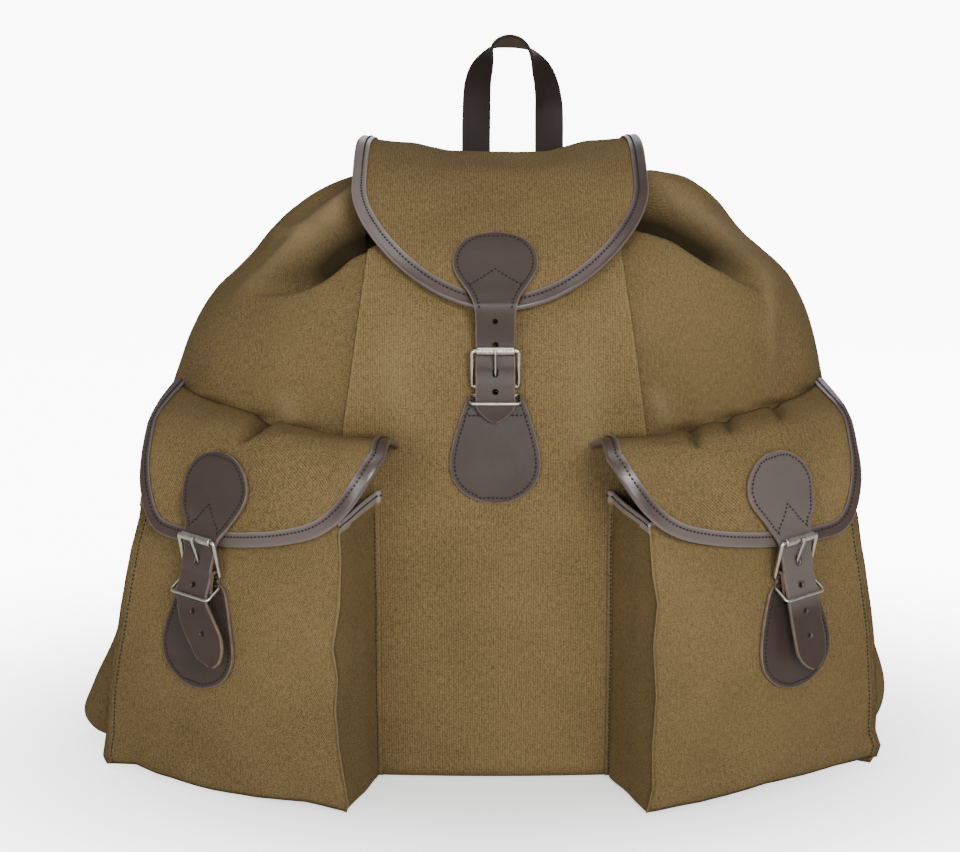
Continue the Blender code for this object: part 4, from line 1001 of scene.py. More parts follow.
def stitch(name, lines, slot, step=None, length=0.0020):
    """Thread sewn along lines of points, as one piece."""
    curve = bpy.data.curves.new(name, "CURVE")
    curve.dimensions = "3D"
    for line in lines:
        spline = curve.splines.new("POLY")
        spline.points.add(len(line) - 1)
        for node, point in zip(spline.points, line):
            node.co = (*point, 1.0)
    obj = link(bpy.data.objects.new(name, curve))
    tree = bpy.data.node_groups.get("stitching") or stitch_tree(MATERIALS["thread"])
    modifier = obj.modifiers.new("stitching", "NODES")
    modifier.node_group = tree
    sockets = {item.name: item.identifier for item in tree.interface.items_tree if item.in_out == "INPUT"}
    modifier[sockets["Step"]] = step or sizes().stitch
    modifier[sockets["Length"]] = length
    modifier[sockets["Thickness"]] = sizes().thread
    return finish_piece(freeze(obj), None, slot)


# The sack

def panel_seam(height):
    """How far from the middle the front panel's seams run."""
    return np.interp(height, *PANEL_SEAM)


def round_corner(turn, front):
    """A quarter of a squared-off circle: shares out to the side and back to the front."""
    return np.sin(turn) ** (2 / front), np.clip(np.cos(turn), 0, 1) ** (2 / front)


def half_ring(level, half, sign):
    """One side of a level, from the middle of the front to the middle of the back, close at the seam."""
    height, _, _, front, side, back, panel, front_round, back_round = level
    panel_steps, side_steps, back_steps = LEVEL_STEPS
    t = np.linspace(0, 1, panel_steps, endpoint=False)
    parts = [np.stack((panel * t, -front + PANEL_CROWN * t * t), axis=1)]
    turn = math.pi / 2 * np.linspace(0, 1, side_steps)
    outward, inward = round_corner(turn, front_round)
    parts.append(np.stack((mix(panel, half, outward), mix(side, PANEL_CROWN - front, inward)), axis=1))
    flat = half * BACK_FLAT
    outward, inward = round_corner(turn[1:], back_round)
    parts.append(np.stack((mix(flat, half, inward), mix(side, back, outward)), axis=1))
    t = np.linspace(0, 1, back_steps)[1:]
    parts.append(np.stack((flat * (1 - t), np.full(len(t), back)), axis=1))
    line = np.concatenate(parts)
    lengths = run_along(line)
    widest = int(np.argmax(line[:, 0]))
    seam = np.interp(min(panel_seam(height), 0.8 * half), line[:widest, 0], lengths[:widest])
    panel_count, side_count, back_count = RING_COLUMNS
    close = 1 - (1 - np.linspace(0, 1, panel_count, endpoint=False)) ** 1.5
    apart = np.linspace(0, 1, side_count, endpoint=False) ** 1.35
    at = np.concatenate((seam * close, mix(seam, lengths[widest], apart),
                         np.linspace(lengths[widest], lengths[-1], back_count + 1)))
    x, y = np.interp(at, lengths, line[:, 0]), np.interp(at, lengths, line[:, 1])
    return np.stack((sign * x, y, np.full(len(at), height)), axis=1)


def sack_ring(level):
    right = half_ring(level, level[2], 1)
    left = half_ring(level, level[1], -1)
    return np.concatenate((right, left[-2:0:-1]))


def in_view(points):
    """Where points are seen from the camera, in a plane through its target: across and up."""
    sine, cosine = math.sin(CAMERA_ELEVATION), math.cos(CAMERA_ELEVATION)
    across, height = points[..., 0] - CAMERA_TARGET[0], points[..., 2] - CAMERA_TARGET[2]
    depth = points[..., 1] * cosine + CAMERA_DISTANCE - height * sine
    up = points[..., 1] * sine + height * cosine
    return (across * CAMERA_DISTANCE / depth + CAMERA_TARGET[0],
            up * CAMERA_DISTANCE / depth + CAMERA_TARGET[2])


def fold_at(view, fold):
    """How far each seen point is from a fold's line, above it as positive, and the fold's depth there."""
    line = curve_through(fold.points, 6)
    nearest = np.full(view[0].shape, 1.0)
    depth = np.zeros(view[0].shape)
    for start, end in zip(line, line[1:]):
        run = end[:2] - start[:2]
        dx, dz = view[0] - start[0], view[1] - start[1]
        share = np.clip((dx * run[0] + dz * run[1]) / (run @ run), 0.0, 1.0)
        apart = np.hypot(dx - run[0] * share, dz - run[1] * share)
        way = np.sign(run[0] * dz - run[1] * dx) * np.sign(run[0] + 1e-9)
        closer = apart < np.abs(nearest)
        nearest = np.where(closer, np.where(way == 0, 1, way) * apart, nearest)
        depth = np.where(closer, mix(start[2], end[2], share), depth)
    return nearest, depth


def fold_relief(points):
    """How far the folds push each point of the front out or in, and how deep and how proud it is there, for
    painted shade and highlight.
    """
    view = in_view(points)
    relief, deep, core, proud = (np.zeros(points.shape[:-1]) for _ in range(4))
    for fold in PLEATS:
        off, depth = fold_at(view, fold)
        over = np.clip(1 - off / fold.above, 0.0, 1.0) ** PLEAT_SLOPE
        sink = np.where(off > 0, over, np.exp(-(off / fold.below) ** 2)) * depth
        relief -= sink
        deep += np.clip((sink - DEEP_FROM) / DEEP_SPAN, 0.0, 1.0)
        core += np.exp(-((off - CORE_OFF) / CORE_OFF) ** 2) * np.clip(depth / CORE_DEPTH, 0.0, 1.0)
    for fold in RIDGES:
        off, depth = fold_at(view, fold)
        rise = np.exp(-(off / np.where(off > 0, fold.above, fold.below)) ** 2) * depth
        relief += rise
        proud += rise / PROUD_FULL
    return relief, deep, core, proud


def sack_points():
    """The sack's outer surface as rows of rings, from the base to the gathered neck."""
    heights = SACK_LEVELS[:, 0]
    keys = np.arange(len(heights))
    low, middle, high = (np.linspace(*span) for span in SACK_SPANS)
    at = np.concatenate((low[:-1], middle[:-1], high))
    levels = smooth_at(SACK_LEVELS, np.clip(at, keys[0], keys[-1]))
    rings = np.array([sack_ring(level) for level in levels])
    side = levels[:, 4][:, None]
    turn = np.linspace(0, 2 * np.pi, rings.shape[1], endpoint=False)[None, :]
    wander = 1.1 * np.sin(turn * 2 + 0.6) + 0.7 * np.sin(turn * 3 + 2.0)
    pull = 0.5 - 0.5 * np.cos(GATHERS * turn + wander)
    gather = GATHER_DEPTH * ease(rings[..., 2], GATHER_START, GATHER_FULL) * pull
    axis = np.stack((np.zeros_like(rings[..., 0]), np.broadcast_to(side, rings.shape[:2]), rings[..., 2]),
                    axis=-1)
    rings = rings - unit(rings - axis) * gather[..., None]
    return rings, (rings[..., 1] < side + 0.012).astype(float)


def outward_normals(points):
    """Normals of a ring grid that point away from its middle."""
    around = np.roll(points, -1, axis=1) - np.roll(points, 1, axis=1)
    up = np.gradient(points, axis=0)
    return unit(np.cross(around, up))


def seam_relief(points, front):
    """The panel's seams: how the cloth steps there, its rubbed rim with a painted highlight, and the painted
    shade beside it.
    """
    off = np.abs(points[..., 0]) - panel_seam(points[..., 2])
    sewn = front * (1 - ease(points[..., 2], *SEAM_FADE)) * (points[..., 1] < -0.03)
    proud, sunk = (height * np.exp(-(off / reach) ** 2) for height, reach in (SEAM_PROUD, SEAM_SUNK))
    rim = sewn * np.exp(-((off + SEAM_RIM[0]) / SEAM_RIM[1]) ** 2)
    shade = sewn * (off > SEAM_DARK[0]) * np.exp(-off / SEAM_DARK[1])
    return sewn * np.where(off < SEAM_TURN, proud, -sunk), rim, shade


def flap_shade(points):
    """The painted shade in a line above the pocket flaps' seams."""
    x, y, z = np.abs(points[..., 0]), points[..., 1], points[..., 2]
    seam = np.array([row[:2] for row in POCKET_FLAP])
    beside = ease(x, *LINE_START) * (y < 0.0)
    return beside * np.exp(-((z - np.interp(x, *seam.T) - LINE_RISE) / LINE_REACH) ** 2)


def sack_cloth(points):
    """The sack's cloth laid flat: across from the middle of the front to both sides, and up."""
    steps = np.linalg.norm(np.roll(points, -1, axis=1) - points, axis=-1)
    half = steps.shape[1] // 2
    right = np.concatenate((np.zeros((len(points), 1)), np.cumsum(steps[:, :half], axis=1)), axis=1)
    left = np.cumsum(steps[:, :half:-1], axis=1)[:, ::-1]
    u = np.concatenate((right, -left), axis=1)
    v = np.cumsum(np.linalg.norm(np.diff(points, axis=0, prepend=points[:1]), axis=-1), axis=0)
    return np.stack((u, v), axis=-1)


def make_sack():
    points, front = sack_points()
    normals = outward_normals(points)
    z = points[..., 2]
    calm = ease(z, *WAVES_BASE) * (1 - ease(z, *WAVES_NECK))
    soft = soft_relief(points, *SACK_WAVES)
    folds, deep, core, proud = fold_relief(points)
    step, rim, shade = seam_relief(points, front)
    # Rub and painted highlight on the seam's rim, and painted highlight on the ridges
    wear = rim * SEAM_RUB_AND_HIGHLIGHT + np.clip(proud, 0, 1) * front * RIDGE_HIGHLIGHT
    # Painted shade in the pleats, towards the base, beside the seam and above the pocket flaps
    pleats = (np.clip(deep, 0, 1) ** 1.5 * PLEAT_SHADE + core * CORE_SHADE) * front
    grime = BASE_SHADE * (1 - ease(z, 0.0, BASE_SHADE_TOP)) + shade * SEAM_SHADE + pleats
    grime = grime + flap_shade(points) * FLAP_SHADE
    points = points + normals * (soft * calm + folds * front + step)[..., None]
    sack = grid_object("sack", points, sack_cloth(points), closed=True, marks={"wear": wear, "grime": grime})
    close_base(sack, points.shape[1])
    centres = np.zeros(len(sack.data.polygons) * 3)
    sack.data.materials.append(MATERIALS["panel"])
    sack.data.materials.append(MATERIALS["twill"])
    sack.data.polygons.foreach_get("center", centres)
    centres = centres.reshape(-1, 3)
    outside = (np.abs(centres[:, 0]) > panel_seam(centres[:, 2])) | (centres[:, 1] > 0)
    sack.data.polygons.foreach_set("material_index", outside.astype(np.int32))
    thicken(sack, sizes().canvas)
    finish_piece(sack, None, "canvas", "sack")
    return search_tree(sack)


def close_base(obj, count):
    """Fills the sack's base with rings that shrink to its middle."""
    bm = bmesh.new()
    bm.from_mesh(obj.data)
    bm.verts.ensure_lookup_table()
    before = rim = [bm.verts[i] for i in range(count)]
    for share in BASE_RINGS:
        ring = [bm.verts.new((v.co.x * share, v.co.y * share, v.co.z)) for v in rim]
        for j in range(count):
            k = (j + 1) % count
            bm.faces.new((before[k], before[j], ring[j], ring[k])).smooth = True
        before = ring
    bm.faces.new(before[::-1])
    bm.to_mesh(obj.data)
    bm.free()


# Flaps

def top_flap_surface():
    """The top flap's middle surface, as if it were a rectangle, with v along its line over the mouth."""
    line = curve_through(FLAP_LINE, 6)
    columns = []
    shares = np.linspace(0, 1, FLAP_SAMPLES + 1)
    y, z = along(line, shares).T
    for i in range(FLAP_SAMPLES + 1):
        u = 2 * i / FLAP_SAMPLES - 1
        half = mix(FLAP_SEAM_HALF, FLAP_HALF, ease(shares, 0.0, 0.5))
        ridge = ease(shares, 0.12, 0.32) * (1 - ease(shares, 0.42, 0.62))
        front = ease(shares, 0.45, 0.95)
        x = FLAP_CENTRE * ease(shares, 0.0, 0.3) + u * half
        lift = FLAP_EDGE_LIFT * abs(u) ** 3 - FLAP_DIP * (1 - ease(abs(u), 0.33, 0.66))
        columns.append(np.stack((x, y + FLAP_EDGE_BACK * front * u * u, z + lift * ridge), axis=1))
    return Surface(columns)


def top_flap_outline(side_steps=40, round_steps=120):
    """Down the left side, round the tip and up the right side."""
    side = FLAP_SIDE_SHARE * np.linspace(0.0, 1.0, side_steps, endpoint=False)[1:]
    power = 2 / FLAP_ROUND
    turn = np.linspace(0, math.pi, round_steps + 1)
    across = np.sign(-np.cos(turn)) * np.abs(np.cos(turn)) ** power
    tip_u = 0.5 + 0.5 * across
    tip_v = mix(FLAP_SIDE_SHARE, 1.0, np.clip(np.sin(turn), 0, 1) ** power)
    u = np.concatenate((np.zeros(len(side)), tip_u, np.ones(len(side))))
    v = np.concatenate((side, tip_v, side[::-1]))
    return u, v


def drape(point, tree, way, clearance):
    """Moves a point back along the way until it clears a surface it would sink into."""
    point, way = Vector(point), Vector(way)
    hit, _, _, _ = tree.ray_cast(point - way * RAY_START, way)
    if hit is None or (hit - point).dot(way) > clearance:
        return point
    return hit - way * clearance


def pocket_flap_surface(side, sack, pocket):
    """The middle surface of one pocket flap, with each column as if it were whole."""
    way = np.array((-side * math.sin(POCKET_TURN), math.cos(POCKET_TURN), 0.0))
    columns = []
    for seam_x, seam_z, ridge_x, ridge_y, ridge_z, end_x, end_y, end_z, _ in POCKET_FLAP:
        narrow = 1.0 if side > 0 else mix(1.0, FLAP_LEFT_SEAM, seam_x / POCKET_FLAP[-1][0])
        seam = np.array(on_front(sack, side * seam_x * narrow, seam_z, 0.0011))
        ridge = np.array((side * ridge_x * narrow, ridge_y, ridge_z))
        end = np.array((side * end_x * narrow, end_y, end_z))
        top = mix(seam, ridge, 0.5) + np.array((0.0, 0.0, FLAP_TOP_RISE))
        belly = mix(ridge, end, 0.5) - way * FLAP_BELLY * np.linalg.norm(ridge - end)
        bend = (mix(ridge, top, FLAP_SOFT), mix(ridge, belly, FLAP_SOFT))
        line = curve_through((seam, top, *bend, belly, end), 6)
        samples = along(line, np.linspace(0, 1, FLAP_SAMPLES + 1))
        columns.append([drape(point, pocket, way, FLAP_CLEARANCE) for point in samples])
    if side < 0:
        columns.reverse()
    return Surface(columns)


def pocket_flap_outline(side, side_steps=26, hem_steps=150):
    kept = np.array([row[-1] for row in POCKET_FLAP])
    if side < 0:
        kept = kept[::-1]
    shares = np.linspace(0, 1, side_steps, endpoint=False)[1:]
    hem = np.linspace(0, 1, hem_steps + 1)
    u = np.concatenate((np.zeros(len(shares)), hem, np.ones(len(shares))))
    v = np.concatenate((kept[0] * shares, smooth_at(kept, hem * (len(kept) - 1)), kept[-1] * shares[::-1]))
    return u, v


def sew_down(row, tree):
    """Lays a flap's top row against the cloth that it is sewn to."""
    for point in row:
        hit = tree.ray_cast(Vector((point[0], -1.0, point[2])), Vector((0.0, 1.0, 0.0)))[0]
        if hit is not None and abs(hit.y - point[1]) < SEW_REACH:
            point[1] = hit.y - SEW_OFF


def make_flap(name, surface, outline, relief, dark, sewn_to, columns=64):
    """The canvas of a flap: rows across it that close in on its tip, a little inside its binding."""
    u, v = surface.inset(outline, CANVAS_INSET)
    last = len(u) - 1
    t = np.linspace(0, 1, columns + 1)
    rows_u = [np.linspace(u[0], u[-1], columns + 1)]
    rows_v = [np.zeros(columns + 1)]
    for i in range(last // 2 + 1):
        rows_u.append(mix(u[i], u[last - i], t))
        rows_v.append(mix(v[i], v[last - i], t))
    u, v = np.array(rows_u)[::-1], np.array(rows_v)[::-1]
    points = surface.point(u, v) + surface.normal(u, v) * relief(u, v)[..., None]
    if sewn_to is not None:
        sew_down(points[-1], sewn_to)
    width = np.linalg.norm(surface.point(1.0, 0.5) - surface.point(0.0, 0.5))
    length = np.linalg.norm(np.diff(surface.point(0.5, np.linspace(0, 1, 30)), axis=0), axis=1).sum()
    obj = grid_object(name, points, np.stack((u * width, -v * length), axis=-1),
                      marks={"wear": np.zeros_like(u), "grime": dark(u, v, length)})
    return thicken(obj, sizes().canvas, 0.0)


def binding_sheen(points):
    """The edge leather's painted sheen: most at the top flap's left corner and along the pocket flaps' hems.
    """
    across, height = points[:, 0], points[:, 2]
    corner = ease(-across, 0.040, 0.088) * ease(height, 0.31, 0.34)
    hem = ease(-height, -0.195, -0.175) * ease(-abs(across), -0.205, -0.165)
    return CORNER_SHEEN * corner + HEM_SHEEN * hem


def make_binding(name, surface, outline, relief):
    """Leather folded over a flap's free edge, from its outer cut edge round to the inner one."""
    size = sizes()
    face = size.canvas / 2 + BINDING_GAP + size.binding / 2
    places = [surface.inset(outline, size.binding_width * share) for share in BINDING_SHARES]
    rows = [(p, 0.0, face) for p in places]
    for turn in np.linspace(90, -90, LIP_TURNS):
        angle = math.radians(turn)
        rows.append((outline, BINDING_LIP * math.cos(angle) * LIP_FULLNESS, face * math.sin(angle)))
    rows += [(p, 0.0, -face) for p in places[::-1]]
    outline_points = surface.point(*outline)
    tangent = unit(np.gradient(outline_points, axis=0))
    run = run_along(outline_points)
    # worn holds the edge leather's painted sheen
    worn = binding_sheen(outline_points)
    grid, uv, wear = [], [], []
    across = 0.0
    before = None
    for (pu, pv), out, rise in rows:
        normal = surface.normal(pu, pv)
        outward = unit(np.cross(tangent, normal))
        row = surface.point(pu, pv) + normal * (rise + relief(pu, pv))[..., None] + outward * out
        if before is not None:
            across += np.linalg.norm(row - before, axis=1).mean()
        before = row
        grid.append(row)
        uv.append(np.stack((run, np.full(len(run), across)), axis=-1))
        # Painted highlights on the binding's cut edge and fold, over its painted sheen
        wear.append(worn + CUT_HIGHLIGHT * (len(wear) in CUT_ROWS) + FOLD_HIGHLIGHT * (len(wear) in FOLD_ROWS))
    grid, uv = np.array(grid), np.array(uv)
    obj = grid_object(name, grid[::-1], uv[::-1], marks={"wear": np.array(wear)[::-1]})
    return thicken(obj, size.binding, 0.0)


def flap_stitches(name, surface, outline, relief):
    size = sizes()
    u, v = surface.inset(outline, BINDING_SEAM)
    rise = size.canvas / 2 + BINDING_GAP + size.binding + BINDING_THREAD_RISE
    line = surface.point(u, v) + surface.normal(u, v) * (rise + relief(u, v))[..., None]
    stitch(name, [line], "leather")


def dent(view, fold):
    """How deep a dent is at each seen point."""
    off, depth = fold_at(view, fold)
    above = np.clip(1 - off / fold.above, 0, 1) ** DENT_SLOPE
    return np.where(off > 0, above, np.exp(-(off / fold.below) ** 2)) * depth


def bound_flap(name, surface, outline, cloth, seed, sewn_to=None):
    """A flap's canvas, its binding and the sewing along it."""
    def relief(u, v):
        points = surface.point(u, v)
        soft = soft_relief(points, (0.045, seed, 0.0011), (0.016, seed + 5.0, 0.0003))
        if cloth == "twill":
            view = in_view(points)
            for fold in DENTS:
                soft -= dent(view, fold)
        return soft

    def dark(u, v, length):
        if cloth != "twill":
            return np.zeros_like(u)
        view = in_view(surface.point(u, v))
        # Painted shade at the flap's seam and in its dents
        pits = sum(np.clip(dent(view, fold), 0, None) for fold in DENTS)
        return np.clip(HEM_SHADE * np.exp(-v * length / HEM_REACH) + pits * PIT_SHADE, 0, MOST_SHADE)

    canvas = make_flap(name, surface, outline, relief, dark, sewn_to)
    finish_piece(canvas, MATERIALS[cloth], "canvas", name)
    trim = make_binding(name + "_binding", surface, outline, relief)
    finish_piece(trim, MATERIALS["binding"], "leather", name + "_binding")
    flap_stitches(name + "_binding_stitches", surface, outline, relief)
    return search_tree(canvas), search_tree(trim)


# Pockets

def pocket_points(side, sack):
    """One pocket's wall: rows from bottom to mouth, each from the sack round the front to the sack."""
    at = np.concatenate((np.linspace(0, 1, BOTTOM_ROWS)[:-1],
                         np.linspace(1, len(POCKET_LEVELS) - 1, WALL_ROWS)))
    rows = []
    t = np.linspace(0, 1, FRONT_COLUMNS + 1)
    lift = np.interp(t, *zip(*BOTTOM_EDGE[side]))
    for height, _, inner_y, _, outer_y, outer_back in smooth_at(POCKET_LEVELS, at):
        rise = POCKET_MOUTH_RISE * ease(height, 0.165, 0.184)
        back_in = np.array(on_front(sack, side * POCKET_BACK_X, height + rise, 0.0008))
        back_out = np.array(on_front(sack, side * outer_back, height + rise, 0.0010))
        inner = np.array((side * np.interp(height, *zip(*INNER_SEAM[side])), inner_y, height))
        outer = np.array((side * np.interp(height, *zip(*OUTER_SEAM[side])), outer_y, height))
        run = unit(outer - inner)
        out = np.array((run[1], -run[0], 0.0)) * side
        front = inner + (outer - inner) * t[:, None] + out * (POCKET_CROWN * np.sin(np.pi * t))[:, None]
        front[:, 2] += lift * (1 - ease(height, 0.0, 0.035))
        spread = np.linspace(0, 1, GUSSET_COLUMNS + 1)[:, None] ** 1.7
        gusset = mix(back_in, inner, spread[:-1])
        tail = mix(back_out, outer, spread[:-1])[::-1]
        inward, onward = unit(inner - back_in), unit(back_out - outer)
        first = [inner - inward * PINCH_HALF, inner + unit(inward - run) * PINCH, inner + run * PINCH_HALF]
        last = [outer - run * PINCH_HALF, outer + unit(run - onward) * PINCH, outer + onward * PINCH_HALF]
        for point, place in zip((*first, *last), (0, 0, 0, -1, -1, -1)):
            point[2] = front[place, 2]
        rows.append(np.concatenate((gusset, first, front[1:-1], last, tail)))
    return np.array(rows)


def corner_marks(shape, inner, outer):
    """Rub and painted highlight on a pocket's two front seams, painted shadow beside them and painted shade
    at its bottom edge.
    """
    wear, grime = np.zeros(shape), np.zeros(shape)
    wear[:, inner], wear[:, outer] = INNER_RUB_AND_HIGHLIGHT, OUTER_RUB_AND_HIGHLIGHT
    grime[:, (inner - 1, inner + 1)] = INNER_SHADOW
    grime[:, (outer - 1, outer + 1)] = OUTER_SHADOW
    rows = BOTTOM_SHADE_ROWS
    grime[:rows, inner + 1:outer] = np.linspace(BOTTOM_SHADE, 0.0, rows)[:, None]
    return wear, grime


def pocket_stitches(name, side, points, from_sack, inner, outer):
    """Sewing beside the outer front seam, along the sack, and under the leather of the mouth."""
    last = points.shape[1] - 1
    middle_row = len(points) // 2
    by_sack = int(np.argmin(np.abs(from_sack[middle_row, :20] - SACK_SEAM_INSET)))
    if side > 0:
        columns, mouth = (outer - 3, by_sack), slice(2, inner)
    else:
        columns, mouth = (last - outer + 3, last - by_sack), slice(last - inner, last - 1)
    lines = [points[2:-8:3, column] for column in columns]
    stitch(name + "_stitches", [*lines, points[-3, mouth]], "canvas")


def make_pocket(name, side, sack):
    points = pocket_points(side, sack)
    count = points.shape[1]
    inner, outer = GUSSET_COLUMNS + 1, count - GUSSET_COLUMNS - 2
    wear, grime = corner_marks(points.shape[:2], inner, outer)
    calm = np.minimum(1.0, np.minimum(np.arange(count), np.arange(count)[::-1]) / 5.0)
    if side < 0:
        points, wear, grime = points[:, ::-1], wear[:, ::-1], grime[:, ::-1]
    normals = unit(np.cross(np.gradient(points, axis=1), np.gradient(points, axis=0)))
    run = np.cumsum(np.linalg.norm(np.diff(points, axis=1, prepend=points[:, :1]), axis=-1), axis=1)
    from_sack = np.minimum(run, run[:, -1:] - run)
    lip = np.exp(-((from_sack - LIP_OFF) / LIP_REACH) ** 2)
    groove = np.exp(-((from_sack - GROOVE_OFF) / GROOVE_REACH) ** 2)
    # Painted highlight on the lip, painted shade in the groove and low on the wall
    wear = wear + lip * LIP_HIGHLIGHT
    low = 1 - ease(points[..., 2], 0.0, LOW_SHADE_TOP)
    grime = grime + groove * GROOVE_SHADE + LOW_SHADE * low
    soft = soft_relief(points, (0.050, 20.0 + side, 0.0013), (0.018, 3.0, 0.0004))
    at = np.arange(count)
    gusset = (at <= inner) | (at >= outer)
    if side < 0:
        gusset = gusset[::-1]
    deep = np.where(gusset, MOUTH_BAND, MOUTH_BAND / 3)
    band = ease(points[..., 2] - points[-1:, :, 2], -deep - 0.0004, -deep)
    raised = soft * calm[None, :] + band * BAND_RAISED + (lip * LIP_RAISED - groove * GROOVE_SUNK)
    points = points + normals * raised[..., None]
    # Painted sheen on the leather round the mouth
    wear = np.where(band > 0.5, BAND_SHEEN, wear)
    u = np.cumsum(np.linalg.norm(np.diff(points, axis=1, prepend=points[:, :1]), axis=-1), axis=1)
    u = u - u[:, count // 2][:, None]
    v = np.cumsum(np.linalg.norm(np.diff(points, axis=0, prepend=points[:1]), axis=-1), axis=0)
    pocket = grid_object(name, points, np.stack((u, v), axis=-1), marks={"wear": wear, "grime": grime})
    pocket.data.materials.append(MATERIALS["twill"])
    pocket.data.materials.append(MATERIALS["binding"])
    bound = (band[:-1, :-1] > 0.5) & (band[1:, 1:] > 0.5)
    pocket.data.polygons.foreach_set("material_index", bound.reshape(-1).astype(np.int32))
    close_pocket(pocket, points[0])
    thicken(pocket, sizes().canvas)
    finish_piece(pocket, None, "canvas", name)
    pocket_stitches(name, side, points + normals * CLOTH_THREAD_RISE, from_sack, inner, outer)
    return search_tree(pocket)


def close_pocket(obj, row):
    """The bottom, from the front seam back to the sack."""
    bm = bmesh.new()
    bm.from_mesh(obj.data)
    bm.verts.ensure_lookup_table()
    count = len(row)
    before = [bm.verts[i] for i in range(count)]
    target = mix(row[0], row[-1], np.linspace(0, 1, count)[:, None])
    target[:, 2] = row[:, 2]
    for share in BOTTOM_RINGS:
        ring = [bm.verts.new(p) for p in mix(row, target, share)]
        for i in range(1, count):
            bm.faces.new((before[i], before[i - 1], ring[i - 1], ring[i])).smooth = True
        before = ring
    bmesh.ops.remove_doubles(bm, verts=bm.verts, dist=0.00005)
    bm.to_mesh(obj.data)
    bm.free()


# Closures

class Seat:
    """Where a closure stands: its own axes, and the surfaces behind it."""

    def __init__(self, closure, trees):
        self.trees = trees
        self.step = closure.step / BUCKLE_RISE
        self.place = Matrix.Translation((closure.x, closure.y, closure.z))
        self.place = self.place @ Matrix.Rotation(closure.turn, 4, "Z")
        lower = self.behind(0.0, -SLOPE_RUN)[0].y - self.behind(0.0, 0.0)[0].y
        self.place = self.place @ Matrix.Rotation(math.atan(lower / SLOPE_RUN), 4, "X")
        self.place = self.place @ Matrix.Translation(self.behind(0.0, 0.0)[0] - Vector((0.0, SEAT_LIFT, 0.0)))
        self.place = self.place @ Matrix.Rotation(closure.lean, 4, "Y")

    def behind(self, across, height):
        """The frontmost surface at a place on the closure's plane: its point and normal, in local axes."""
        axes = self.place.to_3x3()
        start = self.place @ Vector((across, -RAY_START, height))
        hits = [tree.ray_cast(start, axes @ Vector((0.0, 1.0, 0.0))) for tree in self.trees]
        point, normal, _, _ = min((hit for hit in hits if hit[0]), key=lambda hit: hit[3])
        normal = axes.inverted() @ normal
        return self.place.inverted() @ point, normal if normal.y < 0 else -normal

    def at(self, across, height, rise, rides=FREE):
        if rides == FREE:
            return self.place @ Vector((across, -rise - self.step * max(0.0, height), height))
        point, normal = self.behind(across if rides == LAID else 0.0, height)
        if rides == BRIDGED:
            return self.place @ Vector((across, point.y - rise, height))
        return self.place @ (point + normal * rise)


class Ribbon:
    """A strap's middle surface: x across it, s along it and rise out of it, all in metres."""

    def __init__(self, rows, halves):
        rows = np.array([[tuple(p) for p in row] for row in rows])
        self.surface = Surface(np.swapaxes(rows, 0, 1))
        self.spans = len(rows) - 1
        self.halves = np.array(halves, float)
        self.v = np.linspace(0, 1, 24 * self.spans + 1)
        line = self.surface.point(0.5, self.v)
        self.run = run_along(line)
        self.length = self.run[-1]

    def at(self, x, s, rise):
        v = np.interp(s, self.run, self.v)
        u = 0.5 + 0.5 * np.asarray(x) / smooth_at(self.halves, v * self.spans)
        return self.surface.point(u, v) + self.surface.normal(u, v) * np.asarray(rise)[..., None]

    def along_to(self, row):
        """How far along the strap a row is."""
        return float(np.interp(row / self.spans, self.v, self.run))


def seat_ribbon(seat, stations, sway=0.0, first=0.0, last=-1.0):
    """A strap's ribbon on its seat; below the first height it sways aside, most at the last."""
    def shift_at(height):
        return sway * float(ease(-height, first, -last))

    rows, halves = [], []
    for station in stations:
        shift = shift_at(station.height)
        lower, upper = station.height - SWAY_STEP, station.height + SWAY_STEP
        turn = math.atan((shift_at(lower) - shift_at(upper)) / (2 * SWAY_STEP))
        half = max(station.half, LAID_HALF if station.rides == LAID else STRAP_HALF)
        across = np.linspace(-half, half, 7)
        rows.append([seat.at(x * math.cos(turn) + shift, station.height + x * math.sin(turn), station.rise,
                             station.rides) for x in across])
        halves.append(half)
    return Ribbon(rows, halves)


def cutters(holes, thickness, flare):
    """Punches for a flat strap: upright round or long holes, a little wider at the face."""
    bm = bmesh.new()
    top = thickness / 2
    for x, s, radius, length in holes:
        rings = []
        for rise, more in ((-top - 0.001, 0.0), (top - flare, 0.0), (top + 0.0002, flare + 0.0002)):
            ring = []
            for i in range(HOLE_SIDES):
                turn = 2 * math.pi * (i + 0.5) / HOLE_SIDES
                stretch = math.copysign(length / 2, math.sin(turn))
                ring.append(bm.verts.new((x + (radius + more) * math.cos(turn),
                                          s + (radius + more) * math.sin(turn) + stretch, rise)))
            rings.append(ring)
        for low, high in zip(rings, rings[1:]):
            for i in range(HOLE_SIDES):
                k = (i + 1) % HOLE_SIDES
                bm.faces.new((low[i], low[k], high[k], high[i]))
        bm.faces.new(rings[0][::-1])
        bm.faces.new(rings[-1])
    bmesh.ops.recalc_face_normals(bm, faces=bm.faces)
    mesh = bpy.data.meshes.new("punch")
    bm.to_mesh(mesh)
    bm.free()
    mesh.materials.append(MATERIALS["leather"])
    return link(bpy.data.objects.new("punch", mesh))


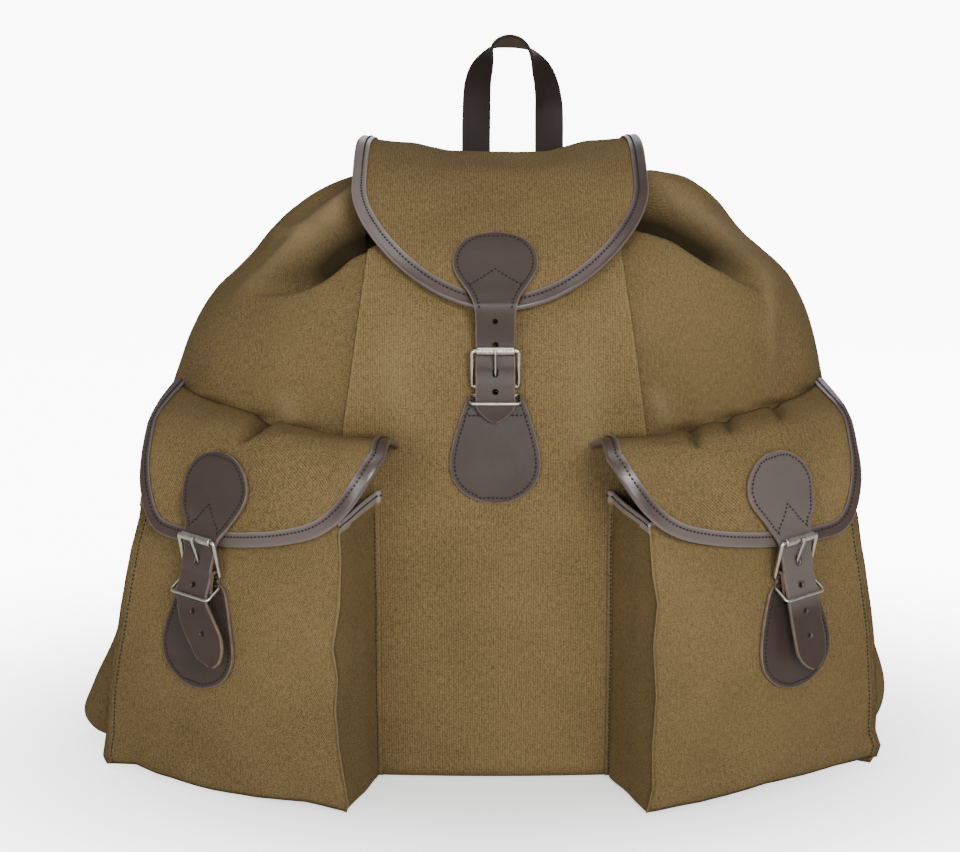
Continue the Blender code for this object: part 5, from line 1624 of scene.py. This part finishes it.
def leather_strap(name, ribbon, half_at, thickness, holes=(), face="leather", back="leather", step=0.0014,
                  rim=0.36, start=0.0, end=None, flare=HOLE_FLARE, cut="edge", pale=(0.0, 1.0)):
    """Leather cut flat to its outline, punched, and then laid along its ribbon."""
    end = ribbon.length if end is None else end
    crowded = END_LENGTH * np.linspace(0, 1, END_ROWS)[:-1] ** END_CROWD
    count = max(4, int((end - start - 2 * END_LENGTH) / step))
    s = np.concatenate((start + crowded, np.linspace(start + END_LENGTH, end - END_LENGTH, count),
                        (end - crowded)[::-1]))
    half = np.maximum(half_at(s), LEAST_HALF)
    slope = np.abs(np.gradient(half, s))
    top = thickness / 2
    shares = np.concatenate((-np.array(STRAP_SHARES[:0:-1]), STRAP_SHARES))
    round_off = np.minimum(EDGE_ROUND, half * 0.4)
    edge = [(math.sin(a), top - EDGE_ROUND * (1 - math.cos(a))) for a in np.radians(EDGE_TURNS)]
    ring = [(share, 0.0, top) for share in shares]
    ring += [(1.0, out, rise) for out, rise in edge]
    ring += [(1.0, out, -rise) for out, rise in edge[::-1]]
    ring += [(share, 0.0, -top) for share in shares[::-1]]
    ring += [(-1.0, -out, -rise) for out, rise in edge]
    ring += [(-1.0, -out, rise) for out, rise in edge[::-1]]
    ring = np.array(ring)
    x = ring[None, :, 0] * (half - round_off)[:, None] + ring[None, :, 1] * round_off[:, None]
    grid = np.stack(np.broadcast_arrays(x, s[:, None], ring[None, :, 2]), axis=-1)
    rim_off = (half[:, None] - np.abs(x)) / np.sqrt(1 + slope[:, None] ** 2)
    wear = rim * np.exp(-(rim_off / RIM_WEAR) ** 2) * (ring[None, :, 2] > 0)
    # pale: a painted sheen from the strap's top to a little past its tongue's hole
    wear = wear + pale[0] * (1 - ease(s, pale[1], pale[1] + PALE_FADE))[:, None]
    obj = grid_object(name, grid, grid[..., :2], closed=True, marks={"wear": wear, "grime": 0 * wear},
                      flip=True)
    face_columns, edge_columns = len(shares) - 1, 2 * len(EDGE_TURNS) + 1
    kinds = np.repeat((0, 1, 2, 1), (face_columns, edge_columns, face_columns, edge_columns))
    obj.data.polygons.foreach_set("material_index", np.tile(kinds, len(s) - 1).astype(np.int32))
    for material in (face, cut, back):
        obj.data.materials.append(MATERIALS[material])
    bm = bmesh.new()
    bm.from_mesh(obj.data)
    bm.verts.ensure_lookup_table()
    around = len(ring)
    for first in (0, (len(s) - 1) * around):
        cap = bm.faces.new([bm.verts[first + i] for i in range(around)])
        cap.material_index = 1
    bmesh.ops.recalc_face_normals(bm, faces=bm.faces)
    bm.to_mesh(obj.data)
    bm.free()
    if holes:
        punch = cutters(holes, thickness, flare)
        punched = obj.modifiers.new("punched", "BOOLEAN")
        punched.object = punch
        punched.solver = "EXACT"
        freeze(obj)
        bpy.data.objects.remove(punch)
    flat = np.zeros(len(obj.data.vertices) * 3)
    obj.data.vertices.foreach_get("co", flat)
    flat = flat.reshape(-1, 3)
    obj.data.vertices.foreach_set("co", ribbon.at(flat[:, 0], flat[:, 1], flat[:, 2]).reshape(-1))
    obj.data.update()
    obj.data.shade_smooth()
    obj.data.set_sharp_from_angle(angle=math.radians(38))
    return obj


def seam_inside(ribbon, half_at, inset, start, end, rise, rounded):
    """A line of sewing that runs inside a strap's outline and round its rounded end, first or last."""
    s = np.linspace(start, end, 240)
    half = half_at(s)
    x = half - inset * np.sqrt(1 + np.gradient(half, s) ** 2)
    s, x = s[x > 0.0005], x[x > 0.0005]
    if rounded == "first":
        s, x = np.concatenate((s[::-1], s)), np.concatenate((-x[::-1], x))
    else:
        s, x = np.concatenate((s, s[::-1])), np.concatenate((-x, x[::-1]))
    return ribbon.at(x, s, np.full(len(s), rise))


def flat_line(ribbon, points, rise, steps=12):
    """A straight-sided line of sewing, given flat as points across and along."""
    points = np.array(points, float)
    share = np.linspace(0, len(points) - 1, steps * (len(points) - 1) + 1)
    index = np.arange(len(points))
    x, s = np.interp(share, index, points[:, 0]), np.interp(share, index, points[:, 1])
    return ribbon.at(x, s, np.full(len(s), rise))


def fuller(half, closure):
    """The pockets' leather is cut a little fuller than the top's."""
    return half + closure.cut.fuller * np.clip(half - STRAP_HALF, 0.0, None)


def strap_stations(closure):
    lift = BUCKLE_RISE + closure.head_gap - STRAP_HEAD[-1].height
    head = [station._replace(height=station.height + lift) for station in STRAP_HEAD]
    bend = [station for station in STRAP_BEND if station.height < head[-1].height - 0.004]
    return [*head, *bend, *closure.tail]


def make_strap(closure, seat):
    """The strap: its teardrop head sewn to the flap, the bend through the buckle, and the free end."""
    stations = strap_stations(closure)
    name = closure.name + "_strap"
    ribbon = seat_ribbon(seat, stations, closure.sway, SWAY_START, closure.tail[-1].height)
    tip = closure.cut.tip

    def half_at(s):
        left = ribbon.length - s
        return np.where(left < tip[-2, 0], read_table(tip[:, 0], tip[:, 1], left),
                        fuller(read_table(HEAD_CUT[:, 0], HEAD_CUT[:, 1], s), closure))

    heights = np.array([station.height for station in stations])
    tongue = ribbon.along_to(np.interp(-TONGUE_HOLE, -heights, np.arange(len(heights))))
    holes = [(0.0, tongue, HOLE_RADIUS, TONGUE_HOLE_LENGTH)]
    holes += [(0.0, tongue + offset, HOLE_RADIUS, 0.0) for offset in closure.cut.holes]
    # The head's painted sheen, and how far along it reaches
    pale = (closure.pale, tongue + PALE_PAST)
    strap = leather_strap(name, ribbon, half_at, sizes().leather, holes, pale=pale)
    finish_piece(strap, None, "leather", name)
    rise = sizes().leather / 2 + THREAD_RISE
    lines = [seam_inside(ribbon, half_at, SEAM_INSET, SEAM_INSET, closure.cut.seam_end, rise, "first"),
             flat_line(ribbon, closure.cut.arrow, rise)]
    stitch(name + "_stitches", lines, "leather", *FINE_STITCH)


def make_chape(closure, seat):
    """The chape: a teardrop leaf on the bag whose neck folds round the heel bar and comes back down."""
    radius = BAR_DEPTH - NECK_RISE
    fold = []
    for turn in np.radians(np.linspace(0, 180, 9)):
        fold.append(Station(radius * math.sin(turn), BAR_DEPTH - radius * math.cos(turn), NECK_HALF, FREE))
    fold += [Station(height, BAR_DEPTH + radius + rise, NECK_HALF, FREE) for height, rise in CHAPE_TAIL]
    name = closure.name + "_chape"
    ribbon = seat_ribbon(seat, [*CHAPE_LEAF, *fold][::-1])
    bar = ribbon.along_to(len(fold) - 1)
    end = bar + LEAF_START + CHAPE_CUT[-1, 0]

    def half_at(s):
        leaf = read_table(CHAPE_CUT[:, 0], CHAPE_CUT[:, 1], s - bar - LEAF_START)
        return np.where(s < bar, NECK_HALF, fuller(leaf, closure))

    slot_end = bar + SLOT_PAST
    slot = (0.0, (SLOT_START + slot_end) / 2, SLOT_RADIUS, slot_end - SLOT_START)
    leaf = leather_strap(name, ribbon, half_at, sizes().leather, [slot], end=end)
    finish_piece(leaf, None, "leather", name)
    rise = sizes().leather / 2 + THREAD_RISE
    across = ((-CROSS_SEAM_HALF, bar + CROSS_SEAM), (CROSS_SEAM_HALF, bar + CROSS_SEAM))
    lines = [seam_inside(ribbon, half_at, SEAM_INSET, bar + LEAF_SEAM_START, end - SEAM_INSET, rise, "last"),
             flat_line(ribbon, across, rise, 24)]
    stitch(name + "_stitches", lines, "leather", *FINE_STITCH)


# Metal

def wire(name, points, radius, closed, sides=16):
    """A bent wire with a round section, as a plain mesh."""
    curve = bpy.data.curves.new(name, "CURVE")
    curve.dimensions = "3D"
    curve.bevel_depth = radius
    curve.bevel_resolution = (sides - 4) // 2
    curve.use_fill_caps = not closed
    spline = curve.splines.new("POLY")
    spline.points.add(len(points) - 1)
    for node, point in zip(spline.points, points):
        node.co = (*point, 1.0)
    spline.use_cyclic_u = closed
    obj = freeze(link(bpy.data.objects.new(name, curve)))
    obj.data.shade_smooth()
    return obj


def wire_loop(corners, radius, steps=8):
    """A closed line through corners that are rounded off."""
    points = []
    for i, corner in enumerate(corners):
        back = (corners[i - 1] - corner).normalized()
        on = (corners[(i + 1) % len(corners)] - corner).normalized()
        start, end = corner + back * radius, corner + on * radius
        for t in np.linspace(0, 1, steps + 1):
            points.append(start * (1 - t) ** 2 + corner * 2 * t * (1 - t) + end * t * t)
    return points


def make_roller(closure, seat):
    """The roller: a short grooved tube with rounded lips on the frame's top bar."""
    name = closure.name + "_buckle_roller"
    turn = np.linspace(0, 2 * math.pi, 72, endpoint=False)
    lip = ROLLER_LIP
    profile = [(-ROLLER_HALF, ROLLER_BORE), (-ROLLER_HALF, ROLLER_RADIUS - lip),
               (-ROLLER_HALF + 0.3 * lip, ROLLER_RADIUS - 0.3 * lip), (-ROLLER_HALF + lip, ROLLER_RADIUS)]
    rows = [*profile, *[(x, ROLLER_RADIUS) for x in np.linspace(-ROLLER_FACE, ROLLER_FACE, 8)],
            *[(-x, r) for x, r in profile[::-1]]]
    local = np.zeros((len(rows), len(turn), 3))
    for i, (x, radius) in enumerate(rows):
        grooved = (abs(x) < GROOVE_HALF) * (radius > GROOVE_LEAST)
        groove = GROOVE_DEPTH * (1 - abs(np.sin(turn * GROOVE_COUNT))) * grooved
        local[i, :, 0] = x
        local[i, :, 1] = (radius - groove) * np.cos(turn)
        local[i, :, 2] = (radius - groove) * np.sin(turn)
    obj = grid_object(name, np.concatenate((local, local[:1])), closed=True)
    bm = bmesh.new()
    bm.from_mesh(obj.data)
    bmesh.ops.remove_doubles(bm, verts=bm.verts, dist=0.000001)
    bmesh.ops.recalc_face_normals(bm, faces=bm.faces)
    bm.to_mesh(obj.data)
    bm.free()
    place = seat.place.to_3x3().to_4x4()
    place.translation = seat.at(0.0, BUCKLE_RISE, ROLLER_DEPTH)
    obj.data.transform(place)
    obj.data.shade_smooth()
    obj.data.set_sharp_from_angle(angle=math.radians(50))
    finish_piece(obj, MATERIALS["metal"], "metal", name)


def bent_wire(name, points, radius, closed, sides=16):
    finish_piece(wire(name, points, radius, closed, sides), MATERIALS["metal"], "metal", name)


def strap_loop(seat, half, low, high, corner):
    """A loop round a strap, from the height and depth of its lower bar to those of its upper one."""
    bars = ((-half, *low), (half, *low), (half, *high), (-half, *high))
    return wire_loop([seat.at(*place) for place in bars], corner)


def make_buckle(closure, seat):
    """The frame with its heel bar, the roller, the tongue and the wire keeper."""
    loop = strap_loop(seat, BUCKLE_HALF, (0.0, BAR_DEPTH), (BUCKLE_RISE, ROLLER_DEPTH), BUCKLE_CORNER)
    bent_wire(closure.name + "_buckle_frame", loop, FRAME_WIRE, True)
    make_roller(closure, seat)
    eye = []
    for turn in np.radians(np.linspace(*TONGUE_EYE_TURN, 25)):
        eye.append((BAR_DEPTH + TONGUE_EYE * math.cos(turn), TONGUE_EYE * math.sin(turn)))
    line = curve_through([*eye[-3:], *TONGUE_LINE], 6)[12:]
    line = [seat.at(0.0, height, depth) for depth, height in (*eye[:-1], *line.tolist())]
    bent_wire(closure.name + "_buckle_tongue", line, TONGUE_WIRE, False, 12)
    loop = strap_loop(seat, KEEPER_HALF, (KEEPER_BACK_HEIGHT, BAR_DEPTH),
                      (closure.keeper_height, closure.keeper_depth), KEEPER_CORNER)
    bent_wire(closure.name + "_keeper", loop, KEEPER_WIRE, True, 12)


# The handle and the back

def make_handle(tree):
    """The handle: its legs face forwards and its crown rolls over to show the suede inside."""
    left, right = ([(x, on_back(tree, x, height, off).y, height, 0.0) for height, off in HANDLE_LEG]
                   for x in (HANDLE_LEFT, HANDLE_RIGHT))
    stations = [*left, *((x, HANDLE_BACK, height, turn) for x, height, turn in HANDLE_LOOP), *right[::-1]]
    centres = np.array([station[:3] for station in stations])
    turns = np.radians([station[3] for station in stations])[:, None]
    runs = unit(np.gradient(centres, axis=0))
    inward = unit(np.stack((runs[:, 2], np.zeros(len(runs)), -runs[:, 0]), axis=1))
    across = inward * np.cos(turns) + np.cross(runs, inward) * -np.sin(turns)
    rows = [[point + way * x for x in np.linspace(-HANDLE_HALF, HANDLE_HALF, 5)]
            for point, way in zip(centres, across)]
    ribbon = Ribbon(rows, [HANDLE_HALF] * len(rows))

    def half_at(s):
        return np.full(np.shape(s), HANDLE_HALF)

    strap = leather_strap("handle", ribbon, half_at, sizes().leather, face="suede", back="handle", rim=0.0,
                         cut="handle")
    finish_piece(strap, None, "leather", "handle")


def back_ribbon(tree, stations):
    rows = []
    for x, height, off, half in stations:
        rows.append([on_back(tree, across, height, off) for across in np.linspace(x + half, x - half, 5)])
    return Ribbon(rows, [station[3] for station in stations])


def make_back(tree):
    """The yoke, the two bowed shoulder straps and their lower anchors."""
    thickness = sizes().leather
    off = BACK_OFF + thickness / 2
    rise = thickness / 2 + THREAD_RISE
    patches = [("back_yoke", 0.0, YOKE_HALF, YOKE_HEIGHTS)]
    for name, side in (("left", -1), ("right", 1)):
        patches.append((name + "_strap_anchor", side * ANCHOR_ACROSS, ANCHOR_HALF, ANCHOR_HEIGHTS))
        stations = [(side * row.across, row.height, row.off, row.half) for row in SHOULDER_STRAP]
        ribbon = back_ribbon(tree, stations)
        halves = np.array([row.half for row in SHOULDER_STRAP])
        runs = [ribbon.along_to(i) for i in range(len(halves))]

        def half_at(s, runs=runs, halves=halves):
            return np.interp(s, runs, halves)

        strap = name + "_shoulder_strap"
        finish_piece(leather_strap(strap, ribbon, half_at, thickness), None, "leather", strap)
        edges = []
        for sign in (-1, 1):
            s = np.linspace(0.004, ribbon.length - 0.004, 90)
            edges.append(ribbon.at(sign * (half_at(s) - SHOULDER_SEAM), s, np.full(len(s), rise)))
        stitch(strap + "_stitches", edges, "leather")
    for name, centre, half, heights in patches:
        ribbon = back_ribbon(tree, [(centre, height, off, half) for height in heights[::-1]])
        length = ribbon.length

        def half_at(s, half=half, length=length):
            near = np.clip(np.minimum(s, length - s), 0, PATCH_CORNER)
            return half - PATCH_CORNER + np.sqrt(np.maximum(PATCH_CORNER**2 - (PATCH_CORNER - near) ** 2, 0))

        finish_piece(leather_strap(name, ribbon, half_at, thickness), None, "leather", name)
        x, low, high = half - PATCH_SEAM, PATCH_SEAM, length - PATCH_SEAM
        seam = ((-x, low), (x, low), (x, high), (-x, high), (-x, low))
        stitch(name + "_stitches", [flat_line(ribbon, seam, rise, 30)], "leather")


# The stage

def hang(lamp):
    light = bpy.data.lights.new(lamp.name, "AREA")
    light.shape = "DISK"
    light.size = lamp.size
    light.energy = lamp.power
    obj = link(bpy.data.objects.new(lamp.name, light))
    obj.location = lamp.place
    obj.rotation_euler = (Vector(LAMP_TARGET) - Vector(lamp.place)).to_track_quat("-Z", "Y").to_euler()


def make_stage():
    scene = bpy.context.scene
    camera = bpy.data.objects.new("camera", bpy.data.cameras.new("camera"))
    link(camera)
    camera.data.lens = CAMERA_LENS
    camera.location = (CAMERA_TARGET[0], -CAMERA_DISTANCE * math.cos(CAMERA_ELEVATION),
                       CAMERA_TARGET[2] + CAMERA_DISTANCE * math.sin(CAMERA_ELEVATION))
    camera.rotation_euler = (math.pi / 2 - CAMERA_ELEVATION, 0.0, 0.0)
    scene.camera = camera
    bm = bmesh.new()
    bmesh.ops.create_circle(bm, cap_ends=True, radius=FLOOR_RADIUS, segments=96)
    mesh = bpy.data.meshes.new("floor")
    bm.to_mesh(mesh)
    bm.free()
    floor = link(bpy.data.objects.new("floor", mesh))
    floor.data.materials.append(MATERIALS["floor"])
    floor.data.transform(Matrix.Translation((0.0, 0.0, -FLOOR_DROP)))
    for lamp in LAMPS:
        hang(lamp)
    world = bpy.data.worlds.new("studio")
    world.use_nodes = True
    nodes, links = world.node_tree.nodes, world.node_tree.links
    seen = nodes.new("ShaderNodeLightPath")
    bright = nodes.new("ShaderNodeMapRange")
    bright.inputs["To Min"].default_value = WORLD_LIGHT
    bright.inputs["To Max"].default_value = WORLD_SEEN
    links.new(seen.outputs["Is Camera Ray"], bright.inputs["Value"])
    links.new(bright.outputs[0], nodes["Background"].inputs[1])
    nodes["Background"].inputs[0].default_value = (1.0, 1.0, 1.0, 1.0)
    scene.world = world


# Operators

TREES = {}


class RUCKSACK_OT_stage(bpy.types.Operator):
    """Sets up the camera, the floor and the light"""
    bl_idname = "rucksack.stage"
    bl_label = "Stage"

    def execute(self, context):
        make_materials()
        make_stage()
        return {"FINISHED"}


class RUCKSACK_OT_sack(bpy.types.Operator):
    """Builds the canvas sack with its gathered neck"""
    bl_idname = "rucksack.sack"
    bl_label = "Sack"

    def execute(self, context):
        TREES["sack"] = make_sack()
        return {"FINISHED"}


class RUCKSACK_OT_top_flap(bpy.types.Operator):
    """Builds the flap over the mouth and its binding"""
    bl_idname = "rucksack.top_flap"
    bl_label = "Top flap"

    def execute(self, context):
        surface, outline = top_flap_surface(), top_flap_outline()
        TREES["top"] = [TREES["sack"], *bound_flap("top_flap", surface, outline, "panel", 30.0)]
        return {"FINISHED"}


class RUCKSACK_OT_pockets(bpy.types.Operator):
    """Builds the two side pockets and their flaps"""
    bl_idname = "rucksack.pockets"
    bl_label = "Pockets"

    def execute(self, context):
        for name, side in (("left", -1), ("right", 1)):
            pocket = make_pocket(name + "_pocket", side, TREES["sack"])
            surface = pocket_flap_surface(side, TREES["sack"], pocket)
            outline = pocket_flap_outline(side)
            flap = bound_flap(name + "_pocket_flap", surface, outline, "twill", 40.0 + side, TREES["sack"])
            TREES[name] = [pocket, *flap]
        return {"FINISHED"}


class RUCKSACK_OT_closures(bpy.types.Operator):
    """Builds the three straps, their chapes and their buckles"""
    bl_idname = "rucksack.closures"
    bl_label = "Closures"

    def execute(self, context):
        for closure in CLOSURES:
            seat = Seat(closure, TREES[closure.name])
            make_strap(closure, seat)
            make_chape(closure, seat)
            make_buckle(closure, seat)
        return {"FINISHED"}


class RUCKSACK_OT_harness(bpy.types.Operator):
    """Builds the carrying handle and the leather on the back"""
    bl_idname = "rucksack.harness"
    bl_label = "Handle and back"

    def execute(self, context):
        make_handle(TREES["sack"])
        make_back(TREES["sack"])
        return {"FINISHED"}


class RUCKSACK_PT_panel(bpy.types.Panel):
    """Lists the pieces of the rucksack"""
    bl_label = "Hunting rucksack"
    bl_space_type = "VIEW_3D"
    bl_region_type = "UI"
    bl_category = "Rucksack"

    def draw(self, context):
        for group in (sizes(), colours()):
            for name in group.__annotations__:
                self.layout.prop(group, name)
        for operator in OPERATORS:
            self.layout.operator(operator.bl_idname)


OPERATORS = (RUCKSACK_OT_stage, RUCKSACK_OT_sack, RUCKSACK_OT_top_flap, RUCKSACK_OT_pockets,
             RUCKSACK_OT_closures, RUCKSACK_OT_harness)
CLASSES = (RucksackSizes, RucksackColours, *OPERATORS, RUCKSACK_PT_panel)


def register():
    for item in CLASSES:
        bpy.utils.register_class(item)
    bpy.types.Scene.rucksack_sizes = PointerProperty(type=RucksackSizes)
    bpy.types.Scene.rucksack_colours = PointerProperty(type=RucksackColours)


def unregister():
    del bpy.types.Scene.rucksack_colours
    del bpy.types.Scene.rucksack_sizes
    for item in reversed(CLASSES):
        bpy.utils.unregister_class(item)


def main():
    register()
    bpy.ops.rucksack.stage()
    bpy.ops.rucksack.sack()
    bpy.ops.rucksack.top_flap()
    bpy.ops.rucksack.pockets()
    bpy.ops.rucksack.closures()
    bpy.ops.rucksack.harness()


if __name__ == "__main__":
    main()
